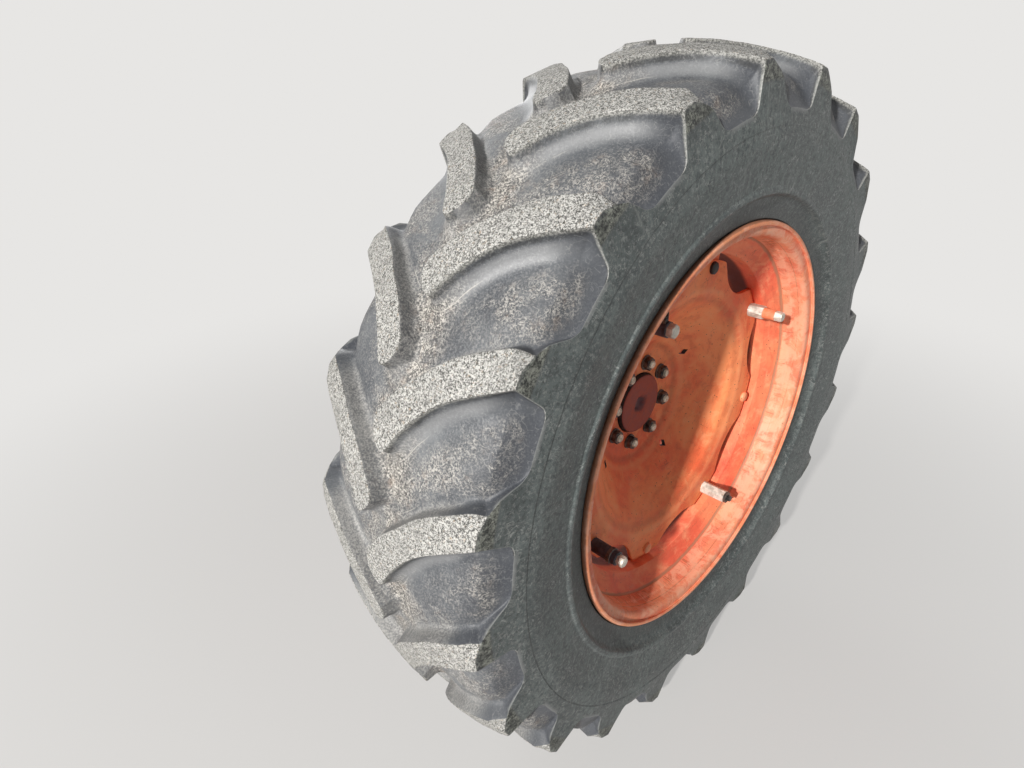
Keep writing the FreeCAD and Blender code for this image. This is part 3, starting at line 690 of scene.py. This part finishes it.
def spaced_columns(side, across, down, squeeze):
    """Columns that run out from the weaving seam, so the first rows of each are spaced from there."""
    fine_across = np.linspace(-45, JOIN, 421)
    kinds, values, fine_angle = tread_columns(fine_across, 0.0, 1.0, side)
    angle = tread_columns(across, down, squeeze, side)[2]
    meets = seam_places(kinds, fine_across, fine_angle)
    moved = np.repeat(across[:, None], len(kinds), axis=1)
    inner = across < JOIN
    for k, start in enumerate(seam_across(meets)):
        nose_row = max(NOSE + SIDE_SHIFT[side], start + 10)
        spaced = np.interp(across[inner], [across[0], NOSE, JOIN], [start, nose_row, JOIN])
        natural = np.interp(spaced, fine_across, fine_angle[:, k])
        offset = meets[k] - np.interp(start, fine_across, fine_angle[:, k])
        angle[inner, k] = natural + offset * ((JOIN - spaced) / (JOIN - start)) ** 3
        moved[inner, k] = spaced
    return kinds, values, angle, moved


def edge_distance(places, line):
    """Distance from each place to a line of points, both in the tread laid flat."""
    start = line[:-1]
    way = line[1:] - start
    gap = places[:, None, :] - start
    share = np.clip((gap * way).sum(-1) / (way * way).sum(-1), 0, 1)
    return np.hypot(*np.moveaxis(gap - share[..., None] * way, -1, 0)).min(axis=1)


def lug_lines(side, across, flat, down):
    """A lug's leading edge, and its nose with the trailing edge, in the tread laid flat."""
    near = np.linspace(NOSE + SIDE_SHIFT[side], JOIN - 2, 34)
    outer = across > JOIN
    places = np.concatenate([near, across[outer]])
    out = np.concatenate([np.interp(near, across, flat), flat[outer]])
    trail, lead = lug_edges(places, np.concatenate([0 * near, down[outer]]), side)
    leading = np.stack([out, np.radians(lead) * MEAN_RADIUS], axis=-1)
    trailing = np.stack([out, np.radians(trail) * MEAN_RADIUS], axis=-1)
    nose = places < LEAD_START
    return leading[~nose], np.vstack([leading[nose][::-1], trailing])


def lug_distances(places, side, across, flat, down):
    """Distance to the nearest leading edge and to the nearest other edge, over both halves."""
    lead_gap = np.full(len(places), FAR)
    other_gap = np.full(len(places), FAR)
    for turn, mirror in ((-1, 1), (0, 1), (1, 1), (-0.5, -1), (0.5, -1), (1.5, -1)):
        leading, other = lug_lines(side * mirror, across, flat, down)
        shift = (0.0, math.radians(PITCH * turn) * MEAN_RADIUS)
        lead_gap = np.minimum(lead_gap, edge_distance(places, leading * (mirror, 1) + shift))
        other_gap = np.minimum(other_gap, edge_distance(places, other * (mirror, 1) + shift))
    return lead_gap, other_gap


def rubber_marks(kinds, values, level, across, radius, down, lead_gap, other_gap):
    """What the rubber's material reads: worn lug tops, dust, end faces and the pockets' edges."""
    is_top = kinds == "top"
    worn = is_top * (level > 0.93) * (down < 0.03)
    dusty = np.maximum(ramp(lead_gap, 30, 55) * ramp(other_gap, 6, 26), ramp(np.abs(across), 75, 30))
    at_edge = (kinds != "pocket") & (values <= TRAIL_OUT[1])
    return {
        "lug_top": worn,
        "dusty": dusty * (1 - ramp(down, 0.3, 0.8)) * (1 - worn),
        "end_face": is_top * ramp(down, 0.02, 0.02 + 1 / 30) * ramp(down, 0.47, 0.42),
        "sidewall": is_top * ramp(down, 0.4, 0.4 + 1 / 12),
        "gap": np.minimum(lead_gap, other_gap),
        "lead_gap": lead_gap,
        "edge_line": np.maximum(at_edge * (down > 0.25), ~is_top * (radius < SIDE_START + 1)),
    }


def tyre_half(side):
    """One half of the tyre from the middle seam to the bead: side is 1 outboard and -1 inboard."""
    top, floor, down = tread_rows()
    across = top[:, 0]
    squeeze = 0.3 + 0.7 * np.clip(np.hypot(*(top - floor).T) / LUG_HEIGHT, 0, 1)
    flat = along(top)
    flat = flat - np.interp(0, across, flat)
    kinds, values, angle, moved = spaced_columns(side, across, down, squeeze)
    is_top = kinds == "top"
    inner = (across < JOIN)[:, None]
    nose = NOSE + SIDE_SHIFT[side]

    # Level over the pocket floor, from the distance to the lugs round about
    flat_across = np.where(inner, moved, flat[:, None])
    places = np.stack([flat_across, np.radians(angle) * MEAN_RADIUS], axis=-1).reshape(-1, 2)
    gaps = lug_distances(places, side, across, flat, down)
    lead_gap, other_gap = [gap.reshape(angle.shape) for gap in gaps]
    shrink = squeeze[:, None]
    level = np.maximum(wall_profile(lead_gap / shrink, LEAD_FILLET),
                       wall_profile(other_gap / shrink, TRAIL_FILLET))
    inset = np.minimum(np.where(is_top, values, 0.0), moved - nose)
    on_lug = is_top & (moved >= nose - 0.01) & (across[:, None] >= NOSE)
    level = np.where(on_lug, wall_profile(-inset, TRAIL_FILLET), level)
    rise = POCKET_RISE * ramp(flat_across, 30, 80) * (1 - down[:, None])
    rise = rise * ramp(lead_gap, 30, 100) * ~is_top
    level = rise + (1 - rise) * level

    # Lug outline, its trailing corner sloped off at the shoulder, above the pocket's outline
    high_across = np.where(inner, moved, top[:, :1])
    high_radius = np.where(inner, crown_at(moved), top[:, 1:])
    trail = lug_edges(across, down, side)[0][:, None]
    from_trail = np.where(is_top, (angle - trail) / PER_MM, FAR)
    from_trail = np.where(kinds == "trail", 0.0, from_trail)
    corner = CORNER_SLOPE * ramp(across[:, None], CORNER_START, CORNER_END)
    corner = corner * ramp(from_trail, CORNER_WIDTH, 0)
    lowered = FACE_BEND + (high_radius - FACE_BEND) * (1 - corner)
    high_radius = np.where(high_radius > FACE_BEND, lowered, high_radius)
    low_across = np.where(inner, moved, floor[:, :1])
    low_radius = np.where(inner, crown_at(moved) - LUG_HEIGHT, floor[:, 1:])
    a = low_across + level * (high_across - low_across)
    r = low_radius + level * (high_radius - low_radius)
    marks = rubber_marks(kinds, values, level, high_across, top[:, 1:], down[:, None], lead_gap, other_gap)

    # One row tucked under the other half at the seam, then all the lugs round the tyre
    first_turn = LUG_PHASE + (0 if side > 0 else PITCH / 2)
    angle = np.vstack([angle[:1], angle])
    angle = np.concatenate([angle + first_turn + PITCH * k for k in range(LUGS)], axis=1)
    a = np.tile(np.vstack([a[:1] - 5, a]), (1, LUGS))
    r = np.tile(np.vstack([r[:1] - 3, r]), (1, LUGS))

    # Sidewall from under the pockets down to the bead, its columns easing to even spacing
    wall = sidewall_profile()
    even = np.linspace(angle[-1, 0], angle[-1, 0] + 360, angle.shape[1], endpoint=False)
    blend = ramp(wall[:, 1:], SIDE_START, SIDE_START - 40)
    ones = np.ones((len(wall), len(even)))
    angle = np.vstack([angle, angle[-1] * (1 - blend) + even * blend])
    a = np.vstack([a, wall[:, :1] * ones])
    r = np.vstack([r, wall[:, 1:] * ones])
    on_wall = {"sidewall": 1.0, "gap": 90.0, "lead_gap": 90.0}
    for label, mark in marks.items():
        mark = np.tile(np.vstack([mark[:1], mark]), (1, LUGS))
        marks[label] = np.vstack([mark, on_wall.get(label, 0.0) * ones])

    # Small unevenness of old rubber, the worn tops a little lower
    points = wheel_point(angle, side * a, r).reshape(-1, 3)
    wobble = np.array([noise.noise(Vector(p) * 38) + 0.5 * noise.noise(Vector(p) * 110) for p in points])
    worn = marks["lug_top"] > 0
    r = r + wobble.reshape(r.shape) * np.where(worn, 0.9, 0.5) - 0.4 * worn
    points = wheel_point(angle, np.clip(side * a, -SIDE_HALF, SIDE_HALF), r)
    name = "tyre_outboard_half" if side > 0 else "tyre_inboard_half"
    piece = grid_piece(name, points, marks, flip=side < 0, sharp=50)
    finish_piece(piece, "road_wheel", RUBBER, ["tyre"])


def sidewall_profile():
    """Outline (across, radius) from under the pockets to the bead on the rim."""
    corners = [
        (SIDE_FOOT, SIDE_START, 0),
        (211.8, 636, 6),
        (212.6, 623.5, 1),
        (211.6, 621.5, 1),
        (213.2, 600, 14),
        (210.6, 578, 10),
        (202.0, 520, 3),
        (204.9, 516, 2),
        (204.9, 507.5, 3),
        (193.5, 500, 4),
        (188.0, 486, 6),
        (185.2, 470, 5),
        (183.6, 459.5, 1),
        (181.0, 458.2, 1),
        (178.4, 452, 1),
        (178.2, 446, 0),
    ]
    return eased(corners)[1:]


tyre_half(1)
tyre_half(-1)


# Rim


def rim():
    """Rim as one closed turned section, mirrored about its middle."""
    inside = [
        (RIM_HALF, LIP, 0),
        (178.6, 452.5, 4),
        (182.5, FLANGE, 4),
        (188.5, FLANGE, 4),
        (191.8, 453.5, 4),
        (191.8, 447.5, 2.5),
        (188.6, 446.4, 1.5),
        (186.8, 449.6, 2),
        (184.3, 449.2, 2.5),
        (184.3, 432.5, 7),
        (177.8, 425.3, 5),
        (150.0, 424.6, 3),
        (147.0, 422.3, 3),
        (123.8, 420.4, 3),
        (99.0, 378.5, 14),
    ]
    outside = [
        (91.0, WELL, 10),
        (121.8, SEAT - 4.6, 4),
        (173.8, SEAT, 3),
        (RIM_HALF, SEAT + 4, 3),
        (RIM_HALF, LIP, 0),
    ]
    near = eased(inside)
    far = near[::-1] * (-1, 1)
    back = eased([(-a, r, f) for a, r, f in outside[::-1]] + outside)
    section = np.vstack([near, far[:-1], back[:-1]])
    turn = np.linspace(0, 360, 384, endpoint=False)
    points = wheel_point(turn[None, :], section[:, :1], section[:, 1:])
    piece = grid_piece("rim_shell", points, loop=True, sharp=40)
    finish_piece(piece, "road_wheel", RIM_PAINT, ["wheel_rim"])


rim()


# Disc


def circle_reach(offset, centre, radius):
    """Radius at which a ray off the direction of a round cut's centre meets the cut."""
    turn = np.radians(offset)
    inside = radius**2 - (centre * np.sin(turn)) ** 2
    reach = centre * np.cos(turn) - np.sqrt(np.clip(inside, 0, None))
    return np.where(inside > 0, reach, DISC_EDGE)


def disc():
    """Dished disc with its scalloped edge, two hand holes and four square holes."""
    turn = np.linspace(0, 360, 1080, endpoint=False)
    from_scallop = (turn - BOLT_PHASE) % 45 - 22.5
    from_hand_hole = (turn - BOLT_PHASE + 67.5) % 180 - 90
    edge = np.minimum(circle_reach(from_scallop, SCALLOP_CIRCLE, SCALLOP_RADIUS), DISC_EDGE)
    edge = np.minimum(edge, circle_reach(from_hand_hole, HAND_HOLE_CIRCLE, HAND_HOLE_RADIUS))
    for sweep in range(3):
        edge = np.minimum(edge, 0.5 * edge + 0.25 * (np.roll(edge, 1) + np.roll(edge, -1)))

    def ring(across, radius):
        return np.stack(np.broadcast_arrays(across + 0 * turn, radius), axis=-1)

    dish = eased([(HUB_OUT - 1, PILOT, 0), (HUB_OUT, PILOT + 1.5, 1), (HUB_OUT, HUB_FLAT, 26),
                  (DISC_OUT, DISC_CREASE, 30), (DISC_OUT, 330.0, 0)], 8)
    front = [ring(across, radius) for across, radius in dish[:-1] if radius < 306]
    inner = front[-1][0, 1]
    front += [ring(DISC_OUT, inner + (edge - 1.6 - inner) * share) for share in (0.25, 0.5, 0.75, 0.93)]
    back = [points - (DISC_PLATE, 0) for points in front]
    front += [ring(DISC_OUT, edge - 1.6), ring(DISC_OUT - 0.5, edge - 0.5), ring(DISC_OUT - 1.6, edge)]
    front += [ring(DISC_OUT - DISC_PLATE + 1, edge), ring(DISC_OUT - DISC_PLATE, edge - 1.2)]
    section = np.stack(front + back[::-1])
    points = wheel_point(turn[None, :], section[..., 0], section[..., 1])
    piece = grid_piece("disc_shell", points, loop=True, sharp=40)
    finish_piece(piece, "road_wheel", WHEEL_PAINT, ["wheel_disc"])
    for k in range(4):
        cutter = square_bar(BOLT_PHASE + 90 * k)
        # The cut walls of each square hole take a painted shade
        cutter.data.materials.append(PAINTED_SHADE)
        cut = piece.modifiers.new("square_hole", "BOOLEAN")
        cut.material_mode = "TRANSFER"
        cut.operation = "DIFFERENCE"
        cut.solver = "EXACT"
        cut.object = cutter
        bpy.context.view_layer.objects.active = piece
        bpy.ops.object.modifier_apply(modifier=cut.name)
        bpy.data.objects.remove(cutter)
    piece.data.set_sharp_from_angle(angle=math.radians(40))


def on_circle(circle, angle):
    """Place (x, z) on a circle about the axle."""
    turn = math.radians(angle)
    return circle * math.cos(turn), circle * math.sin(turn)


def square_bar(angle):
    """Square cutter along the axle, one corner towards the hub."""
    middle_x, middle_z = on_circle(SQUARE_CIRCLE, angle)
    corners = []
    for across in (40.0, -50.0):
        for k in range(4):
            x, z = on_circle(SQUARE_HALF * math.sqrt(2), angle + 90 * k)
            corners.append(((middle_x + x) * MM, MIDDLE - across * MM, (middle_z + z) * MM))
    faces = [(0, 1, 2, 3), (7, 6, 5, 4)]
    faces += [(k, k + 4, (k + 1) % 4 + 4, (k + 1) % 4) for k in range(4)]
    mesh = bpy.data.meshes.new("square_bar")
    mesh.from_pydata(corners, [], faces)
    return add_object("square_bar", mesh)


disc()


# Turned pieces and fasteners about an axis along the axle


def stack(name, rows, centre=(0.0, 0.0), segments=36, turn=0.0):
    """Closed piece from rings (across, radius, sides) about an axis at centre (x, z) in millimetres.
    sides of 0 is round, and any other number is a polygon whose radius is to its corners."""
    around = np.arange(segments) / segments * 360
    rings = []
    for across, radius, sides in rows:
        reach = np.full(segments, float(radius))
        if sides:
            step = 360 / sides
            reach = radius * math.cos(math.pi / sides) / np.cos(np.radians((around % step) - step / 2))
        x = centre[0] + reach * np.cos(np.radians(around + turn))
        z = centre[1] + reach * np.sin(np.radians(around + turn))
        rings.append(np.stack([x * MM, np.full(segments, MIDDLE - across * MM), z * MM], axis=-1))
    return grid_piece(name, np.stack(rings), sharp=30)


def chamfered_hex(near, far, radius, hole=0.0):
    """Rings of a hexagonal nut or head, its outer end chamfered round."""
    flat = radius * math.cos(math.pi / 6)
    return [(near, hole, 0), (near, radius, 6), (far - 1.8, radius, 6), (far, flat * 0.94, 0), (far, hole, 0)]


def threaded(near, far, radius, pitch=2.0):
    """Rings of a threaded end with its tip eased."""
    rows = []
    for k in range(int((far - near) / pitch)):
        start = near + k * pitch
        rows += [(start, radius * 0.9, 0), (start + pitch * 0.5, radius, 0)]
    return rows + [(far - 1.2, radius * 0.9, 0), (far, radius * 0.72, 0), (far, 0.0, 0)]


def tube(near, far, radius, sides=0, inner=8.2):
    """Rings of a plain tube or polygonal bar with its ends eased."""
    return [(near, inner, 0), (near, radius - 1.2, 0), (near + 1.2, radius, sides),
            (far - 1.2, radius, sides), (far, radius - 1.2, 0), (far, inner, 0)]


def wheel_nuts():
    """Eight nuts with their washers, and the stud ends that stand out of them."""
    washer_rows = [(HUB_OUT + 0.2, 9.8, 0), (HUB_OUT + 0.2, 19.0, 0), (HUB_OUT + 3.2, 18.6, 0),
                   (HUB_OUT + 3.6, 17.6, 0), (HUB_OUT + 3.6, 9.8, 0)]
    nut_rows = chamfered_hex(HUB_OUT + 3.6, HUB_OUT + 17.0, 17.0, 9.2)
    stud_rows = [(HUB_OUT - 8, 0.0, 0), (HUB_OUT - 8, 8.6, 0), *threaded(HUB_OUT + 12, HUB_OUT + 22.5, 9.2)]
    for k in range(8):
        centre = on_circle(STUD_CIRCLE, BOLT_PHASE + 45 * k)
        washer = stack("washer", washer_rows, centre, 40)
        nut = stack("nut", nut_rows, centre, 36, 17 * k)
        piece = joined("wheel_nut_set_%d" % (k + 1), [nut, washer])
        finish_piece(piece, "road_wheel", DARK_STEEL, ["wheel_nut_%d" % (k + 1)])
        stud = stack("wheel_stud_end_%d" % (k + 1), stud_rows, centre, 24)
        finish_piece(stud, "road_wheel", WORN_STEEL, ["wheel_stud_%d" % (k + 1)])


wheel_nuts()


def hub():
    """Half shaft: centring boss with a lobed recess, flange and seal land, and the inner end."""
    face = SHAFT_LOW.y / MM + 6.0
    hub_face = MIDDLE / MM - HUB_OUT + DISC_PLATE
    shaft_end = SHAFT_HIGH.y / MM
    recess = [(11.0, 0.01, 0.0), (11.0, 8.0, 0.06), (9.5, 13.0, 0.12), (4.5, 17.0, 0.16), (1.6, 21.0, 0.14),
              (0.4, 26.0, 0.08), (0.0, 31.0, 0.0), (0.0, 38.0, 0.0), (0.0, 48.0, 0.0), (0.0, 60.0, 0.0),
              (0.0, BOSS - 4.5, 0.0), (1.0, BOSS - 1.8, 0.0), (4.0, BOSS, 0.0)]
    flange = [(0.0, BOSS), (0.0, 136.5), (1.5, 138.0), (22.5, 138.0), (24.0, 136.5), (24.0, 56.0),
              (30.0, 50.0), (84.0, 50.0), (92.0, 42.0)]
    inner_end = [(-40.0, 42.0), (0.0, 24.0), (shaft_end - 2.0, 24.0), (shaft_end, 22.0), (shaft_end, 0.01)]
    outline = [(face + deep, radius, lobes) for deep, radius, lobes in recess]
    outline += [(hub_face + deep, radius, 0.0) for deep, radius in flange]
    outline += [(y, radius, 0.0) for y, radius in inner_end]
    turn = np.arange(144) / 144 * 360
    rings = []
    for y, radius, lobes in outline:
        reach = radius * (1 + lobes * np.cos(np.radians(4 * (turn - 20))))
        rings.append(wheel_point(turn, MIDDLE / MM - y, reach))
    piece = grid_piece("hub_shaft", np.stack(rings), flip=True, sharp=35)
    finish_piece(piece, "road_wheel", HUB_PAINT, ["half_shaft"])


hub()


def latch(centre, far):
    """Bent finger that stands on one sleeve and turns back over it."""
    pieces = []
    for near, radius, rise in ((far - 17, 8.0, 19.0), (far - 17, 8.0, 27.0), (far - 38, 6.5, 31.0)):
        rows = [(near, 0.01, 4), (near, radius, 4), (far - 5, radius, 4), (far - 5, 0.01, 4)]
        pieces.append(stack("finger", rows, (centre[0] - 4.0, centre[1] + rise), 24, 45))
    return pieces


def sleeves():
    """Dual wheel sleeves and their bolts, each worn in its own way, and the plain disc bolts."""
    low = DISC_OUT
    far = low + 66
    shank = [(low - 20, 0.01, 0), (low - 20, 8.0, 0)]
    hexagon = chamfered_hex(far - 6, low + 82, 12.0)[1:]
    large_hexagon = chamfered_hex(far - 1, low + 79, 14.5)[1:]
    bodies = (
        (tube(low, low + 36, 16.5, 6), ZINC),
        (tube(low, far, 15.5), COATED_STEEL),
        (tube(low, far, 15.5), COATED_STEEL),
        (tube(low, far - 2, 16.8, 6), ZINC),
    )
    trims = (
        (tube(low + 34, far - 2, 12.8), CHALKY_PAINT),
        (tube(low + 2, low + 14, 18.5), DARK_STEEL),
        (tube(low + 44, low + 54, 17.6), DARK_STEEL),
        (tube(far - 2, far + 5, 15.0), DARK_STEEL),
    )
    ends = (
        (hexagon, ZINC),
        (large_hexagon, ZINC),
        (hexagon, ZINC),
        (threaded(far + 5, low + 80, 8.0), DARK_STEEL),
    )
    for k in range(4):
        centre = on_circle(CLAMP_CIRCLE, BOLT_PHASE + 90 * k)
        rows, material = bodies[k]
        body = stack("sleeve_%d" % (k + 1), rows, centre, 36, 11 * k)
        finish_piece(body, "road_wheel", material, ["dual_sleeve_%d" % (k + 1)])
        rows, material = trims[k]
        trim = stack("sleeve_trim_%d" % (k + 1), rows, centre, 36, 7 * k)
        if k == 1:
            trim = joined("sleeve_trim_2", [trim] + latch(centre, far))
        finish_piece(trim, "road_wheel", material)
        rows, material = ends[k]
        end = stack("sleeve_bolt_end_%d" % (k + 1), shank + [(far - 6, 8.0, 0)] + rows, centre, 36, 23 * k)
        finish_piece(end, "road_wheel", material, ["sleeve_bolt_%d" % (k + 1)])
    head = [(low, 8.0, 0), (low, 13.6, 0), (low + 2, 14.0, 0), (low + 6, 13.2, 0), (low + 8.4, 9.8, 0),
            (low + 9, 5.0, 0), (low + 9, 0.01, 0)]
    for k in range(4):
        centre = on_circle(CLAMP_CIRCLE, BOLT_PHASE + 45 + 90 * k)
        bolt = stack("disc_bolt_head_%d" % (k + 1), shank + head, centre, 36)
        # The first disc bolt head, at the top, takes a painted shade
        material = CHALKY_PAINT if k else PAINTED_SHADE
        finish_piece(bolt, "road_wheel", material, ["disc_bolt_%d" % (k + 1)])


sleeves()


# CAD nodes whose shape stays


def dress(names, material):
    """A finished material on CAD nodes."""
    for name in names:
        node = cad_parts[name]
        node.data.materials.clear()
        node.data.materials.append(material)


dress(["rim_lug_%d" % (k + 1) for k in range(8)], WHEEL_PAINT)
dress(["valve_stem"], BRASS)
dress(["axle_housing"], HOUSING_PAINT)
dress(["seal_retainer"], DARK_STEEL)
dress(["retainer_bolt_%d" % (k + 1) for k in range(6)], DARK_STEEL)


# Camera, at the photograph's viewing angle

camera_data = bpy.data.cameras.new("camera")
camera_data.sensor_width = 36.0
camera_data.lens = 21.289
camera = add_object("camera", camera_data)
camera.location = (-1.0645, -1.1384, 0.7585)
camera.rotation_euler = Euler([math.radians(d) for d in (61.029, 2.913, -44.449)])
bpy.context.scene.camera = camera


# Floor and light

PALE = (0.80, 0.79, 0.775)
FLOOR_HALF = 40.0


def floor():
    """Pale floor that keeps the shadow and fades into the background."""
    corners = [(x * FLOOR_HALF, y * FLOOR_HALF, TYRE_LOW.z) for x, y in ((-1, -1), (1, -1), (1, 1), (-1, 1))]
    mesh = bpy.data.meshes.new("floor")
    mesh.from_pydata(corners, [], [(0, 1, 2, 3)])
    plane = add_object("floor", mesh)
    m = Shading("floor_finish")
    m.done((0.5, 0.49, 0.48), 0.9, specular=0.1)
    x, y, _ = m.parts()
    glow = m.node("ShaderNodeEmission")
    m.feed(glow.inputs["Color"], PALE)
    path = m.node("ShaderNodeLightPath")
    either = m.math("MAXIMUM", path.outputs["Is Camera Ray"], path.outputs["Is Glossy Ray"])
    shown = m.node("ShaderNodeMixShader")
    m.feed(shown.inputs[0], m.times(either, m.band(m.length(x, y), 0.6, 3.2, 0.5, 1.0)))
    m.feed(shown.inputs[1], m.shader.outputs[0])
    m.feed(shown.inputs[2], glow.outputs[0])
    m.feed(m.tree.nodes["Material Output"].inputs["Surface"], shown.outputs[0])
    plane.data.materials.append(m.material)


def lamp(name, place, target, power, size, colour=(1, 1, 1)):
    """Square lamp turned towards its target."""
    data = bpy.data.lights.new(name, "AREA")
    data.energy = power
    data.size = size
    data.color = colour
    item = add_object(name, data)
    item.location = place
    item.rotation_euler = (Vector(target) - Vector(place)).to_track_quat("-Z", "Y").to_euler()


def studio_world():
    """Faint light from all round, with a pale background where the camera or gloss sees it."""
    world = bpy.data.worlds.new("studio")
    bpy.context.scene.world = world
    world.use_nodes = True
    nodes = world.node_tree.nodes
    links = world.node_tree.links
    background = nodes["Background"]
    background.inputs["Color"].default_value = (0.92, 0.93, 0.95, 1)
    background.inputs["Strength"].default_value = 0.08
    seen = nodes.new("ShaderNodeBackground")
    seen.inputs["Color"].default_value = (*PALE, 1)
    path = nodes.new("ShaderNodeLightPath")
    either = nodes.new("ShaderNodeMath")
    either.operation = "MAXIMUM"
    choose = nodes.new("ShaderNodeMixShader")
    links.new(path.outputs["Is Camera Ray"], either.inputs[0])
    links.new(path.outputs["Is Glossy Ray"], either.inputs[1])
    links.new(either.outputs[0], choose.inputs[0])
    links.new(background.outputs[0], choose.inputs[1])
    links.new(seen.outputs[0], choose.inputs[2])
    links.new(choose.outputs[0], nodes["World Output"].inputs["Surface"])


floor()
studio_world()
lamp("key", (-6.06, -1.96, 3.17), (0, -0.45, 0), 690, 0.25, (1.0, 0.98, 0.95))
lamp("fill", (0.6, -3.6, 1.2), (0, -0.5, 0), 5, 2.4, (0.97, 0.97, 1.0))
lamp("top", (0.2, -0.4, 3.6), (0, -0.4, 0), 6, 2.4)
lamp("back", (1.6, 3.0, 1.6), (0, -0.2, 0), 60, 2.2)

bpy.context.scene.view_settings.view_transform = "Standard"
